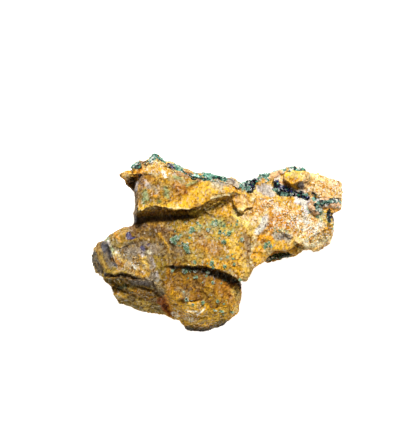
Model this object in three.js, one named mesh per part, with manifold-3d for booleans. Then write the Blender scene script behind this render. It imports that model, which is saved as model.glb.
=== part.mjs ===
// A hand specimen of iron-stained quartz rock with malachite and azurite, lying on its broad back.
// Millimetres, +Z up. The origin is under the middle of the stone, on the surface that it rests on.
// +Y is the side that carries the malachite crust, and the ledges step down towards -Y.
import * as THREE from "three";
import { mergeVertices } from "three/addons/utils/BufferGeometryUtils.js";
import { ImprovedNoise } from "three/addons/math/ImprovedNoise.js";
import Module from "manifold-3d";

const wasm = await Module();
wasm.setup();

// ---- driving dimensions ----
const FOOT = -3; // rough lumps reach below the rest plane before they are trimmed
const REST_PLANE = 0;
const SKY = 48; // above the tallest face
const FACET = 8.6; // edge of a facet on a broken face
const STEP = 7.5; // length of the facets round the sides
const STOREY = 10; // and their height
const SLIVER = 0.15; // narrower slivers are merged away
const GAP = 0.35; // between the rock and what has grown on it
const REACH = 130; // width of a block that breaks the rock along a plane
const CLEAR = [0, GAP, 0.6 * GAP]; // from the rock to the inside of the malachite crust
const CRUST = [0, 1.8, 0.9]; // and to its outside
const TUFT = 0.85; // radius of a malachite tuft
const LEAN = 0.9; // how far the crystals lean apart
const SPREAD = 0.5; // how much their lengths differ
const POINT = 0.25; // the end of a crystal, of its width
const FLAT = 0.6; // its thickness, of its width

// How the rock is broken: each size of lump, and how far it stands in or out.
const BREAKS = [
  { size: 14, depth: 1.2 },
  { size: 7, depth: 0.9 },
  { size: 4.3, depth: 0.5 },
];

// ---- solids ----
function solidOf(geometry) {
  const bare = geometry.clone();
  bare.deleteAttribute("normal");
  bare.deleteAttribute("uv");
  const welded = mergeVertices(bare, 1e-4);
  return new wasm.Manifold(
    new wasm.Mesh({
      numProp: 3,
      vertProperties: welded.attributes.position.array,
      triVerts: new Uint32Array(welded.index.array),
      tolerance: SLIVER,
    }),
  );
}

function geometryOf(solid) {
  const mesh = solid.getMesh();
  return new THREE.BufferGeometry()
    .setAttribute("position", new THREE.BufferAttribute(mesh.vertProperties, 3))
    .setIndex(new THREE.BufferAttribute(mesh.triVerts, 1));
}

const joined = (solids) => solids.reduce((all, one) => all.add(one));
const largest = (solid) => solid.decompose().sort((a, b) => b.volume() - a.volume())[0];

// ---- how the rock is broken ----
const noise = new ImprovedNoise();

// Each axis and each size of lump reads the noise at a place of its own.
const AXIS_DRIFT = 17.3;
const SIZE_DRIFT = 41.7;

// Moves each vertex by smooth noise of its own place, so that a flat face becomes a broken one.
function roughen(geometry) {
  const spots = geometry.attributes.position;
  for (let i = 0; i < spots.count; i++) {
    const [x, y, z] = [spots.getX(i), spots.getY(i), spots.getZ(i)];
    const move = [0, 0, 0];
    BREAKS.forEach(({ size, depth }, octave) => {
      for (let axis = 0; axis < 3; axis++) {
        const seed = AXIS_DRIFT * axis + SIZE_DRIFT * octave;
        move[axis] += depth * noise.noise(x / size + seed, y / size - seed, z / size + 2 * seed);
      }
    });
    spots.setXYZ(i, x + move[0], y + move[1], z + move[2]);
  }
  return geometry;
}

const upright = new THREE.Vector3(0, 0, 1);
const turnTo = (out) =>
  new THREE.Quaternion().setFromUnitVectors(upright, new THREE.Vector3(...out).normalize());

// A block that fills the space beyond a plane through `at` that faces `out`, split into `cells`.
const block = (at, out, cells) =>
  new THREE.BoxGeometry(REACH, REACH, REACH, cells, cells, 1)
    .translate(0, 0, REACH / 2)
    .applyQuaternion(turnTo(out))
    .translate(...at);

const broken = (at, out) => solidOf(roughen(block(at, out, Math.round(REACH / FACET))));
const sawn = (at, out) => solidOf(block(at, out, 1));

// A broken face over the plan, by its height at a point and its rise along x and y.
const face = (x, y, z, riseX, riseY) => broken([x, y, z], [-riseX, -riseY, 1]);

// The outline with its long sides split, so that the wall below it can be broken too.
function splitSides(outline) {
  return outline.flatMap(([x, y], i) => {
    const [nextX, nextY] = outline[(i + 1) % outline.length];
    const parts = Math.ceil(Math.hypot(nextX - x, nextY - y) / STEP);
    return Array.from({ length: parts }, (_, k) => [
      x + ((nextX - x) * k) / parts,
      y + ((nextY - y) * k) / parts,
    ]);
  });
}

// A column with the outline for its plan, from its foot to above everything.
function column(outline, foot, steps) {
  const plan = new THREE.Shape(outline.map(([x, y]) => new THREE.Vector2(x, y)));
  const geometry = new THREE.ExtrudeGeometry(plan, { depth: SKY - foot, steps, bevelEnabled: false });
  return geometry.translate(0, 0, foot);
}

// A lump of rock: an outline in plan, broken off by the faces.
function lump({ outline, foot = FOOT, faces }) {
  const rough = roughen(column(splitSides(outline), foot, Math.round((SKY - foot) / STOREY)));
  return faces.reduce((solid, cut) => solid.subtract(cut), solidOf(rough));
}

// A scoop where a flake has come away.
const scoop = (at, [rx, ry, rz]) =>
  solidOf(roughen(new THREE.IcosahedronGeometry(1, 2).scale(rx, ry, rz).translate(...at)));

// ---- the rock's lumps ----
const benchFace = face(-5, 0, 30.5, 0.02, -0.08);
const leftFace = face(-25, 0, 27.6, 0.3, -0.06);

const body = lump({
  outline: [
    [-33.8, 8], [-31, -15], [-24.5, -14], [-23, -10.8], [-21.8, -9.8], [-17, -9.3], [-11, -9.2],
    [-5, -9.6], [-1, -10.6], [3, -11.8], [5.8, -13.4], [8.6, -15.4], [11.2, -15.2], [13.2, -12.2],
    [15, -9.1], [18.4, -7], [20.6, -4], [22.4, -3], [26.2, -3.2], [29, -2.8], [30.2, -1.4],
    [31.8, -0.8], [34.2, -2.2], [37, -2.6], [40, -3.2], [42.8, -1.8], [44.6, 0], [46, 2.7], [45.6, 6],
    [45.8, 8.8], [45.6, 11.2], [47.7, 13], [49.6, 13.9], [49.4, 23.2], [48, 24.2], [45, 25.2],
    [41.6, 26.2], [37.6, 27.2], [34.9, 27.6], [31.5, 28.2], [28.1, 28.2], [25.4, 27.4], [22.7, 26.4],
    [20.4, 25.6], [17.3, 25.2], [14.6, 24], [11.9, 23.2], [9.9, 22.6], [7.8, 23.2], [5.1, 24.2],
    [1, 24.8], [-7, 26], [-12.6, 27.4], [-16, 29.8], [-20, 32], [-25, 34], [-28.2, 33.2],
    [-31.4, 31.6], [-33.4, 28], [-33.8, 20],
  ],
  faces: [
    benchFace,
    leftFace,
    face(20, 12, 30.4, -0.11, -0.05),
    face(20, 18, 29.6, -0.08, -0.48),
    broken([40, -0.5, 24], [0.45, -0.65, 0.6]),
    broken([49, 14, 22], [0.85, 0.1, 0.55]),
    // the rock draws in under its widest line
    broken([0, 32, 7], [0, 0.85, -0.5]),
    broken([47, 14, 10], [0.85, 0.1, -0.5]),
    broken([36, 1, 10], [0.35, -0.75, -0.55]),
    broken([-36, 22, 12], [-0.85, 0.1, -0.5]),
  ],
});

const leftLobe = lump({
  outline: [
    [-33, 8.4], [-39.5, 6], [-43, 4], [-45.4, 1.2], [-48.4, 0], [-50.6, -3], [-52.2, -6.4],
    [-51.8, -9.4], [-49.2, -12.4], [-46, -14.2], [-39, -14.2], [-33, -14.8], [-27, -15.2],
    [-24, -13], [-24, 10],
  ],
  faces: [
    benchFace,
    leftFace,
    face(-46, -5, 21, 1.7, 0.1),
    broken([-40, 5, 19.5], [-0.45, 0.75, 0.5]),
    broken([-46, -5, 8], [-0.75, 0.1, -0.65]),
    broken([-38, 5, 8], [-0.4, 0.75, -0.6]),
  ],
});

const lowerLobe = lump({
  outline: [
    [-24, -8], [-25.5, -16], [-23, -22], [-22.6, -28.4], [-19.2, -30.2], [-15.5, -32.2],
    [-13.8, -33.8], [-11.1, -35.6], [-6.4, -36.2], [-1, -34.8], [3.1, -32.5], [5.8, -30],
    [8.3, -28], [8.7, -24.4], [9.2, -20.3], [8.9, -16.5], [8, -8], [-10, -4],
  ],
  faces: [
    face(-10, -12, 28.2, -0.15, 0.1),
    face(0, -20, 25.4, -0.34, 0.14),
    face(-12, -21, 25.4, 0.1, 0.3),
    face(-8, -28, 21.4, -0.05, 0.75),
    broken([-6, -33, 14.5], [0, -0.8, 0.6]),
    broken([-15, -30.5, 15], [-0.3, -0.7, 0.6]),
    broken([6, -28, 16], [0.7, -0.55, 0.45]),
    broken([-8, -32, 6], [-0.1, -0.7, -0.7]),
    broken([7.5, -22, 7], [0.75, -0.2, -0.6]),
  ],
});

const leftFoot = lump({
  outline: [
    [-46.9, -12], [-46, -15], [-43.4, -18], [-41.4, -21.6], [-39.2, -24.5], [-35.4, -25.9],
    [-31.4, -27.7], [-27.3, -28.9], [-23.2, -29.5], [-19, -29.4], [-20, -10],
  ],
  faces: [
    face(-32, -15, 22.4, 0.08, 0.4),
    face(-38, -20, 17.5, 0.55, 0.45),
    face(-24, -18, 21.5, -0.25, 0.35),
    broken([-30, -26.2, 12.5], [-0.1, -0.75, 0.6]),
    broken([-38, -21, 6], [-0.6, -0.5, -0.62]),
    broken([-28, -25, 5], [-0.1, -0.7, -0.7]),
  ],
});

// The ledge across the top left: its front edge hangs over the bench.
const upperLedge = lump({
  outline: [
    [-32.6, 12.2], [-28.2, 14], [-25, 14.3], [-21, 13.7], [-16.6, 13], [-14.9, 13.2], [-10.8, 13.2],
    [-9.2, 14], [-7.6, 14.8], [-4.7, 16.6], [-2.7, 16.8], [-0.6, 17], [1.4, 18], [4.1, 18],
    [5.9, 18.9], [7.7, 19.7], [9.2, 21.2], [8.2, 22.6], [5.1, 23.8], [1.1, 24.2], [-1.6, 24.6],
    [-7, 24.2], [-12.4, 26], [-15.2, 28.4], [-19.2, 30.4], [-22.9, 31.8], [-25.3, 32.8],
    [-27.6, 32.2], [-28.8, 29.8], [-30.2, 28.2], [-31.2, 26.4], [-33, 23.2], [-33.4, 19.2],
    [-33.4, 15.2],
  ],
  foot: 20,
  faces: [
    face(-22, 18, 35.2, 0.06, -0.14),
    face(-12, 14, 36.8, -0.1, -0.22),
    face(-14, 25, 33.2, -0.24, -0.8),
    face(-2, 20, 35.2, -0.28, -0.25),
    broken([-33, 20, 31], [-0.85, 0.1, 0.5]),
    // the hollow under its front edge
    broken([-24, 13, 34], [0.05, -0.85, -0.5]),
  ],
});

// The broken wall under the right half of that ledge.
const ledgeWall = lump({
  outline: [
    [-13, 14.6], [-11.6, 11.4], [-8.5, 10.5], [-4, 12], [0.5, 14], [4.2, 15.8], [7.5, 17.4],
    [9.4, 20], [0, 21], [-10, 18],
  ],
  faces: [
    face(-9, 13.8, 34.6, -0.62, 1.35),
    face(-2, 21, 33.8, 0, 0),
  ],
});

// The point at the far left: a small shelf over a dark hollow.
const leftShoulder = lump({
  outline: [
    [-39, 26.6], [-37.4, 25], [-35.8, 22.6], [-33.4, 21.2], [-30, 19], [-27, 22], [-27, 30],
    [-33.4, 28.6], [-36.8, 27.8],
  ],
  foot: 5,
  faces: [
    face(-34, 25, 17, 0.3, -0.35),
    broken([-35, 26, 12], [-0.7, 0.3, -0.65]),
  ],
});

const shelf = lump({
  outline: [
    [-39.4, 27], [-37, 28.3], [-34.2, 29.5], [-30.6, 29.8], [-29.6, 28.2], [-32.8, 27.4],
    [-36.2, 26.3], [-38.4, 25.9],
  ],
  foot: 14,
  faces: [face(-34, 28, 26.8, 0.22, -0.3), broken([-34, 28, 19], [-0.6, 0.5, -0.6])],
});

// A thin plate lying on the bench, right of the upper ledge.
const benchPlate = lump({
  outline: [
    [5.6, 18.2], [8.6, 20.8], [14.5, 20.4], [15.6, 18.3], [14.2, 14.8], [11.5, 12.7], [7.8, 12.4],
    [6, 14.5],
  ],
  faces: [face(10, 16, 31.2, -0.06, -0.26)],
});

// The block at the right end, above the vein.
const endBlock = lump({
  outline: [
    [38.4, 27.2], [45, 25.2], [48.4, 24.2], [49.6, 23.2], [49.6, 17.8], [44, 17.2], [40.6, 17.6],
    [38.2, 19.6], [36.8, 23.4],
  ],
  faces: [
    face(43, 20, 28.6, -0.12, -0.2),
    broken([48, 20, 26.5], [0.8, 0.1, 0.5]),
    face(44, 23, 28, 0.05, -0.8),
    broken([47, 20, 12], [0.8, 0.3, -0.5]),
  ],
});

const knob = lump({
  outline: [
    [27.2, 28.6], [26.8, 26.4], [28.2, 23.4], [31.2, 21.8], [34.4, 21.8], [36.2, 23.8], [35.8, 27.4],
    [33, 29], [29.6, 29.2],
  ],
  faces: [
    face(31.6, 26, 30.8, -0.05, -0.22),
    broken([31.6, 23.4, 29.4], [0.05, -0.85, 0.5]),
    broken([28.4, 25, 29.4], [-0.75, -0.4, 0.5]),
    broken([35, 25, 29], [0.8, -0.3, 0.5]),
    face(31.6, 28, 29.6, 0, -1),
    broken([31, 24, 9], [-0.1, 0.8, -0.6]),
  ],
});

// The low shelf under the right arm.
const underShelf = lump({
  outline: [
    [17.6, -4], [18.6, -7.5], [19.9, -7.9], [22.7, -7.1], [26.1, -6.4], [29.5, -5.8], [31.8, -4.2],
    [34.2, -2.6], [34, 4], [18, 4],
  ],
  faces: [face(26, -4, 15.5, 0.15, 0.55), broken([26, -5, 6], [0.15, -0.75, -0.6])],
});

const underChip = lump({
  outline: [[27.6, -1], [28.2, -4.2], [30.2, -5.4], [31.8, -4.6], [32.6, -1]],
  foot: 12,
  faces: [face(30, -3, 23.2, 0.1, 0.3), broken([30, -4, 18], [0, -0.6, -0.7])],
});

const whole = joined([
  body, leftLobe, lowerLobe, leftFoot, upperLedge, ledgeWall, leftShoulder, shelf, benchPlate, endBlock,
  underShelf, underChip,
])
  .subtract(scoop([31.5, 23, 32.5], [8.6, 6.6, 7.4])) // the hollow round the knob
  .subtract(scoop([-44.4, -6, 24.6], [1.9, 6, 4.2])) // the groove along the left end
  .subtract(scoop([27.4, 1.6, 31.4], [3.8, 2.4, 3])) // the dip above the under shelf
  .subtract(scoop([48.4, 10.4, 21], [3.2, 2.6, 8])) // the notch in the right end
  .add(knob)
  .subtract(sawn([0, 0, REST_PLANE], [0, 0, -1]));

// ---- places on the rock ----
const probe = new THREE.Raycaster();
const wholeMesh = new THREE.Mesh(geometryOf(whole), new THREE.MeshBasicMaterial());

// Where a ray first meets the rock, and which way the rock faces there.
function firstHit(from, along) {
  probe.set(new THREE.Vector3(...from), new THREE.Vector3(...along));
  const hit = probe.intersectObject(wholeMesh)[0];
  return hit && { at: hit.point.toArray(), out: hit.face.normal.toArray() };
}

const onTop = ([x, y]) => firstHit([x, y, SKY], [0, 0, -1]);

const nugget = (at, radius) => solidOf(new THREE.IcosahedronGeometry(radius).translate(...at));

// ---- malachite tufts, grown fast to the rock ----
const TUFTS = [
  [-17.8, 1.2], [-16.2, 2], [-12.6, -0.8], [-11.8, -2.8], [-9.8, 5.6], [-3.4, 5.2], [-0.4, 8.8],
  [1, 4.4], [4.8, 3.8], [2.6, 0.4], [9.8, 1.4], [-9, -7.6], [-2, -7.8], [3, -9.4], [6.6, -8.4],
  [-17.8, -11], [-13, -11], [-3.8, -11.6], [-8.4, -13.4], [-1.8, -15.8], [-12.2, -22.4],
  [-5.8, -23.6], [0.2, -23.2], [-1, -26.8], [1.8, -27.2], [5.8, -27.6], [9, -14.6], [19.6, -0.7],
];

const tufts = joined(
  TUFTS.map((spot) => solidOf(new THREE.OctahedronGeometry(TUFT).translate(...onTop(spot).at))),
);

// ---- what grew in and on the rock ----
const rootOf = (spot, sink) => {
  const [x, y, z] = onTop(spot).at;
  return [x, y, z - sink];
};

// A bed of overlapping lumps along a path over the rock, sunk into it.
const bedOf = ({ path, radius, sink }, extra = 0) =>
  joined(path.map((spot) => nugget(rootOf(spot, sink), radius + extra)));

// A flattened prism that narrows to its end and stands on `at` and points along `out`.
function blade(at, out, length, width) {
  const prism = new THREE.CylinderGeometry(POINT * width, width / 2, length, 4, 1).scale(1, 1, FLAT);
  prism.rotateX(Math.PI / 2).translate(0, 0, length / 2);
  return solidOf(prism.applyQuaternion(turnTo(out)).translate(...at));
}

const chance = THREE.MathUtils.seededRandom;
chance(23);
const leaning = (out) => out.map((along) => along + LEAN * (chance() - 0.5));

// Crystals bristling from a bed, a few at each step of its path.
const bladesOn = ({ path, sink, crystals, length, width }) =>
  joined(path.flatMap((spot) => {
    const out = onTop(spot).out;
    return Array.from({ length: crystals }, () =>
      blade(rootOf(spot, sink), leaning(out), length * (1 + SPREAD * (chance() - 0.5)), width));
  }));

const GROWTHS = {
  azurite_crystals_in_hollow: {
    path: [[23.2, 23.6], [23.2, 21.2], [25, 19.8], [27.6, 19.5], [30.4, 19.5], [33, 19], [35.2, 18.3]],
    radius: 1.9, sink: 0.7, crystals: 2, length: 3.3, width: 1.8,
  },
  azurite_crystals_on_rim: {
    path: [[11.6, 21.6], [13.6, 22], [13, 20.6]],
    radius: 1.7, sink: 0.4, crystals: 2, length: 3.2, width: 1.8,
  },
  azurite_crystals_in_notch: {
    path: [[44.2, 11.6], [44.4, 9.4]],
    radius: 1.6, sink: 0.4, crystals: 2, length: 3, width: 1.7,
  },
  malachite_vein: {
    path: [
      [39, 16.4], [41.2, 16], [43.4, 16.2], [45.2, 16.2], [46.6, 16], [37.8, 14.6], [39.2, 13.2],
    ],
    radius: 1.8, sink: 0.7, crystals: 1, length: 2.9, width: 1.7,
  },
  malachite_under_shelf: {
    path: [[20.6, -6], [23, -5.4], [25.4, -5], [27.8, -4.6]],
    radius: 1.8, sink: 0.8, crystals: 1, length: 2.9, width: 1.7,
  },
};

const grown = Object.fromEntries(
  Object.entries(GROWTHS).map(([name, growth]) => [name, bedOf(growth).add(bladesOn(growth))]),
);
const beds = joined(Object.values(GROWTHS).map((growth) => bedOf(growth, GAP)));
const rock = largest(whole.add(tufts).subtract(beds));

// ---- the malachite crust over the back wall, up to the rim ----
const CRUST_FOOT = 3; // its lower end stays clear of the rest plane
const ROOM = 1.7; // round the azurite that stands in it
const CRUST_EDGE = [
  [-35.4, 29.8], [-31, 29.6], [-29.4, 31.6], [-25.6, 32.6], [-22.2, 31.4], [-18.6, 30], [-14.6, 27.6],
  [-8, 25.2], [-1, 24.4], [4.6, 23.6], [8.2, 21.6], [11, 21], [16.6, 23.4], [21, 25.2], [24, 27],
  [28, 28.6], [33.4, 28.4], [35.2, 26.8], [35.2, 45], [-35.4, 45],
];
const RIM_LUMPS = [
  [-33.2, 28.8, 1.6], [-31.6, 30.2, 1.5], [-27, 32.2, 1.6], [-24, 31.6, 1.7], [-17.6, 28.6, 1.5],
  [-14.6, 27, 1.4], [-11.4, 26.2, 1.5], [-6.6, 24.8, 1.6], [-3.6, 25.6, 1.7], [2.2, 24.4, 1.5],
  [8.4, 21.8, 1.5], [16.8, 23.8, 1.5], [18.8, 24.8, 1.6], [29.4, 28.8, 1.1], [33, 28.4, 1.1],
];
const crustZone = solidOf(column(CRUST_EDGE, CRUST_FOOT, 1));

const rimLumps = joined(RIM_LUMPS.map(([x, y, radius]) => nugget(onTop([x, y]).at, radius)));
const crust = largest(
  whole
    .translate(CRUST)
    .intersect(crustZone)
    .add(rimLumps)
    .subtract(whole.translate(CLEAR))
    .subtract(bedOf({ ...GROWTHS.azurite_crystals_on_rim, sink: -1 }, ROOM)),
);

// ---- the pieces ----
const MATRIX_MATERIAL = new THREE.MeshStandardMaterial({ color: 0xc08a2e, roughness: 0.75, metalness: 0 });
const MALACHITE_MATERIAL = new THREE.MeshStandardMaterial({ color: 0x1f7a5c, roughness: 0.6, metalness: 0 });
const AZURITE_MATERIAL = new THREE.MeshStandardMaterial({ color: 0x141a4a, roughness: 0.3, metalness: 0 });

const specimen = new THREE.Group();

function piece(name, solid, material) {
  const mesh = new THREE.Mesh(geometryOf(solid), material);
  mesh.name = name;
  specimen.add(mesh);
}

piece("matrix_rock", rock, MATRIX_MATERIAL);
piece("malachite_crust", crust, MALACHITE_MATERIAL);
for (const [name, growth] of Object.entries(grown)) {
  piece(name, growth, name.startsWith("azurite") ? AZURITE_MATERIAL : MALACHITE_MATERIAL);
}

// The stone is centred over the origin.
const middle = new THREE.Box3().setFromObject(specimen).getCenter(new THREE.Vector3());
specimen.position.set(-middle.x, -middle.y, 0);

export default specimen;
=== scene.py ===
"""A hand specimen of iron-stained quartz with malachite and azurite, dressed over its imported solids.

Blender's units are metres. Places over the stone, sizes of grains and depths of cuts are written in
millimetres: x along the stone, y towards the malachite crust, z up from the plane that it rests on.
"""
import math
import random
from typing import NamedTuple

import bmesh
import bpy
import numpy as np
from mathutils import Matrix, Vector, noise
from mathutils.bvhtree import BVHTree


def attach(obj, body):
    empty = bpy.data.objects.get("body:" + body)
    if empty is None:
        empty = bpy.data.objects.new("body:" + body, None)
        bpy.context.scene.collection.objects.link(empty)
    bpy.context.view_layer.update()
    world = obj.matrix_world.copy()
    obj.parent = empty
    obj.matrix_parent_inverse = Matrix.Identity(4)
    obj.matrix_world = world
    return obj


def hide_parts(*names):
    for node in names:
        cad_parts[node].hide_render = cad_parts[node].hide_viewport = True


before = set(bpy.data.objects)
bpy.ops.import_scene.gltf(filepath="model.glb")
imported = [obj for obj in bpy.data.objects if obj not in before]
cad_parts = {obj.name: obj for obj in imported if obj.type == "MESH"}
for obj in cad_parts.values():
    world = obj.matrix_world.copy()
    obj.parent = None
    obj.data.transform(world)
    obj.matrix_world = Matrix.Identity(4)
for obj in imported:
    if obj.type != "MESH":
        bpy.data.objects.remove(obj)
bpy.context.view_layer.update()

MM = 0.001
UP = Vector((0, 0, 1))

# ---- how fine each surface is ----
ROCK_FACET = 0.47
CRUST_FACET = 0.38
BED_FACET = 0.28
REST_BAND = 1.4  # the rock stays flat up to this height, where it rests


# ---- meshes ----
def show(data, name):
    piece = bpy.data.objects.new(name, data)
    bpy.context.scene.collection.objects.link(piece)
    return piece


def pour(work, mesh):
    """Ends the bmesh in a mesh."""
    work.to_mesh(mesh)
    work.free()
    return mesh


def mesh_from(work, name):
    return pour(work, bpy.data.meshes.new(name))


def work_on(piece):
    """A bmesh that starts as the piece, to plant more on it."""
    work = bmesh.new()
    work.from_mesh(piece.data)
    return work


def coat(piece, *finishes):
    for finish in finishes:
        piece.data.materials.append(bpy.data.materials[finish])


def tie(piece, node=None):
    """Joins the piece to the stone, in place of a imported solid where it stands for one."""
    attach(piece, "root")
    if node:
        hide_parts(node)


def solid_copy(node, name, facet):
    """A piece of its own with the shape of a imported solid, in even facets."""
    work = bmesh.new()
    work.from_mesh(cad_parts[node].data)
    bmesh.ops.remove_doubles(work, verts=work.verts, dist=0.001 * MM)
    piece = show(mesh_from(work, name), name)
    remesh = piece.modifiers.new("facets", "REMESH")
    remesh.mode = "VOXEL"
    remesh.voxel_size = facet * MM
    bpy.context.view_layer.update()
    seen = piece.evaluated_get(bpy.context.evaluated_depsgraph_get())
    piece.data = bpy.data.meshes.new_from_object(seen)
    piece.modifiers.clear()
    piece.data.name = name
    return piece


def smoothstep(low, high, values):
    share = np.clip((values - low) / (high - low), 0, 1)
    return share * share * (3 - 2 * share)


class Skin:
    """The surface of a piece as arrays in millimetres, to be carved and stained."""

    def __init__(self, piece):
        self.mesh = piece.data
        count = len(self.mesh.vertices)
        flat = np.empty(3 * count)
        self.mesh.vertices.foreach_get("co", flat)
        self.spots = flat.reshape(-1, 3) / MM
        ends = np.empty(2 * len(self.mesh.edges), int)
        self.mesh.edges.foreach_get("vertices", ends)
        self.near, self.far = ends.reshape(-1, 2).T
        self.valence = np.maximum(1, np.bincount(ends, minlength=count))

    def outward(self):
        flat = np.empty(3 * len(self.spots))
        self.mesh.vertex_normals.foreach_get("vector", flat)
        return flat.reshape(-1, 3)

    def relaxed(self, values, passes):
        """The values, each drawn to the mean of its neighbours."""
        count = len(values)
        for _ in range(passes):
            total = np.bincount(self.near, values[self.far], count)
            total += np.bincount(self.far, values[self.near], count)
            values = (values + total / self.valence) / 2
        return values

    def soften(self, passes):
        self.spots = np.stack([self.relaxed(axis, passes) for axis in self.spots.T], axis=1)
        self.settle()

    def bend(self, passes):
        """How deep each spot lies below its surroundings: above zero in a hollow."""
        around = np.stack([self.relaxed(axis, passes) for axis in self.spots.T], axis=1)
        return ((around - self.spots) * self.outward()).sum(axis=1)

    def push(self, heights):
        """Moves the surface out by the heights, but keeps the foot flat."""
        free = smoothstep(0.2, REST_BAND, self.spots[:, 2])
        self.spots += self.outward() * (heights * free)[:, None]
        self.spots[:, 2] = np.maximum(self.spots[:, 2], 0)
        self.settle()

    def settle(self):
        self.mesh.vertices.foreach_set("co", (self.spots * MM).ravel())
        self.mesh.update()

    def write(self, name, values):
        layer = self.mesh.attributes.new(name, "FLOAT", "POINT")
        layer.data.foreach_set("value", values.astype(np.float32))

    def write_colour(self, name, colours):
        layer = self.mesh.attributes.new(name, "FLOAT_COLOR", "POINT")
        opaque = np.ones((len(colours), 1))
        layer.data.foreach_set("color", np.hstack([colours, opaque]).astype(np.float32).ravel())

    def write_folds(self):
        """Marks the hollows and the crests."""
        bend = self.bend(4)
        self.write("hollow", smoothstep(0.02, 0.22, bend))
        self.write("crest", smoothstep(0.03, 0.2, -bend))

    def tree(self):
        """What rays and nearest points are asked of, in millimetres."""
        return BVHTree.FromPolygons(self.spots.tolist(), [p.vertices for p in self.mesh.polygons])


def skin_piece(node, name, facet, passes):
    """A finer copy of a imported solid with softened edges: the piece and its skin."""
    piece = solid_copy(node, name, facet)
    skin = Skin(piece)
    skin.soften(passes)
    return piece, skin


# ---- how stone is broken ----
def drift(seed):
    return Vector((7.13 * seed, -3.71 * seed, 5.37 * seed))


def swell(spots, size, seed, octaves=1):
    """Smooth lumps of a size, from about -1 to 1."""
    shift = drift(seed)
    return np.array([noise.fractal(Vector(at) / size + shift, 1.0, 2.0, octaves) for at in spots])


def chips(spots, size, seed):
    """Flat faces of a size that tilt at random, from about -1 to 1."""
    shift = drift(seed)
    heights = []
    for at in spots:
        place = Vector(at) / size + shift
        middle = noise.voronoi(place)[1][0]
        tilt = noise.cell_vector(middle * 37) - Vector((0.5, 0.5, 0.5))
        heights.append(2 * tilt.dot(place - middle) + 0.6 * (noise.cell(middle * 53) - 0.5))
    return np.array(heights)


def beads(spots, size, seed):
    """Round buttons of a size, 1 on their crowns and 0 in the seams."""
    shift = drift(seed)
    gaps = np.array([noise.voronoi(Vector(at) / size + shift)[0][0] for at in spots])
    return np.clip(1 - 1.6 * gaps, 0, 1)


# ---- lines over the stone ----
def off_path(path, spots):
    """How far each spot lies from a path in plan, on which side of it, and how far along it."""
    plan = spots[:, :2]
    nearest = np.full(len(plan), np.inf)
    side = np.ones(len(plan))
    along = np.zeros(len(plan))
    joints = [np.array(point, float) for point in path]
    if len(joints) == 1:
        return np.linalg.norm(plan - joints[0], axis=1), side, along + 0.5
    for index, (start, end) in enumerate(zip(joints, joints[1:])):
        run = end - start
        share = np.clip((plan - start) @ run / (run @ run), 0, 1)
        off = plan - start - share[:, None] * run
        distance = np.linalg.norm(off, axis=1)
        closer = distance < nearest
        nearest = np.where(closer, distance, nearest)
        side = np.where(closer, np.sign(run[0] * off[:, 1] - run[1] * off[:, 0]), side)
        along = np.where(closer, (index + share) / (len(joints) - 1), along)
    return nearest, side, along


class Cut(NamedTuple):
    """A crest along a path, or a groove where its height is below zero."""

    path: list
    width: float
    height: float


class Step(NamedTuple):
    """A break in level along a path: the ground to its left stands higher and slopes off."""

    path: list
    reach: float
    height: float


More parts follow.
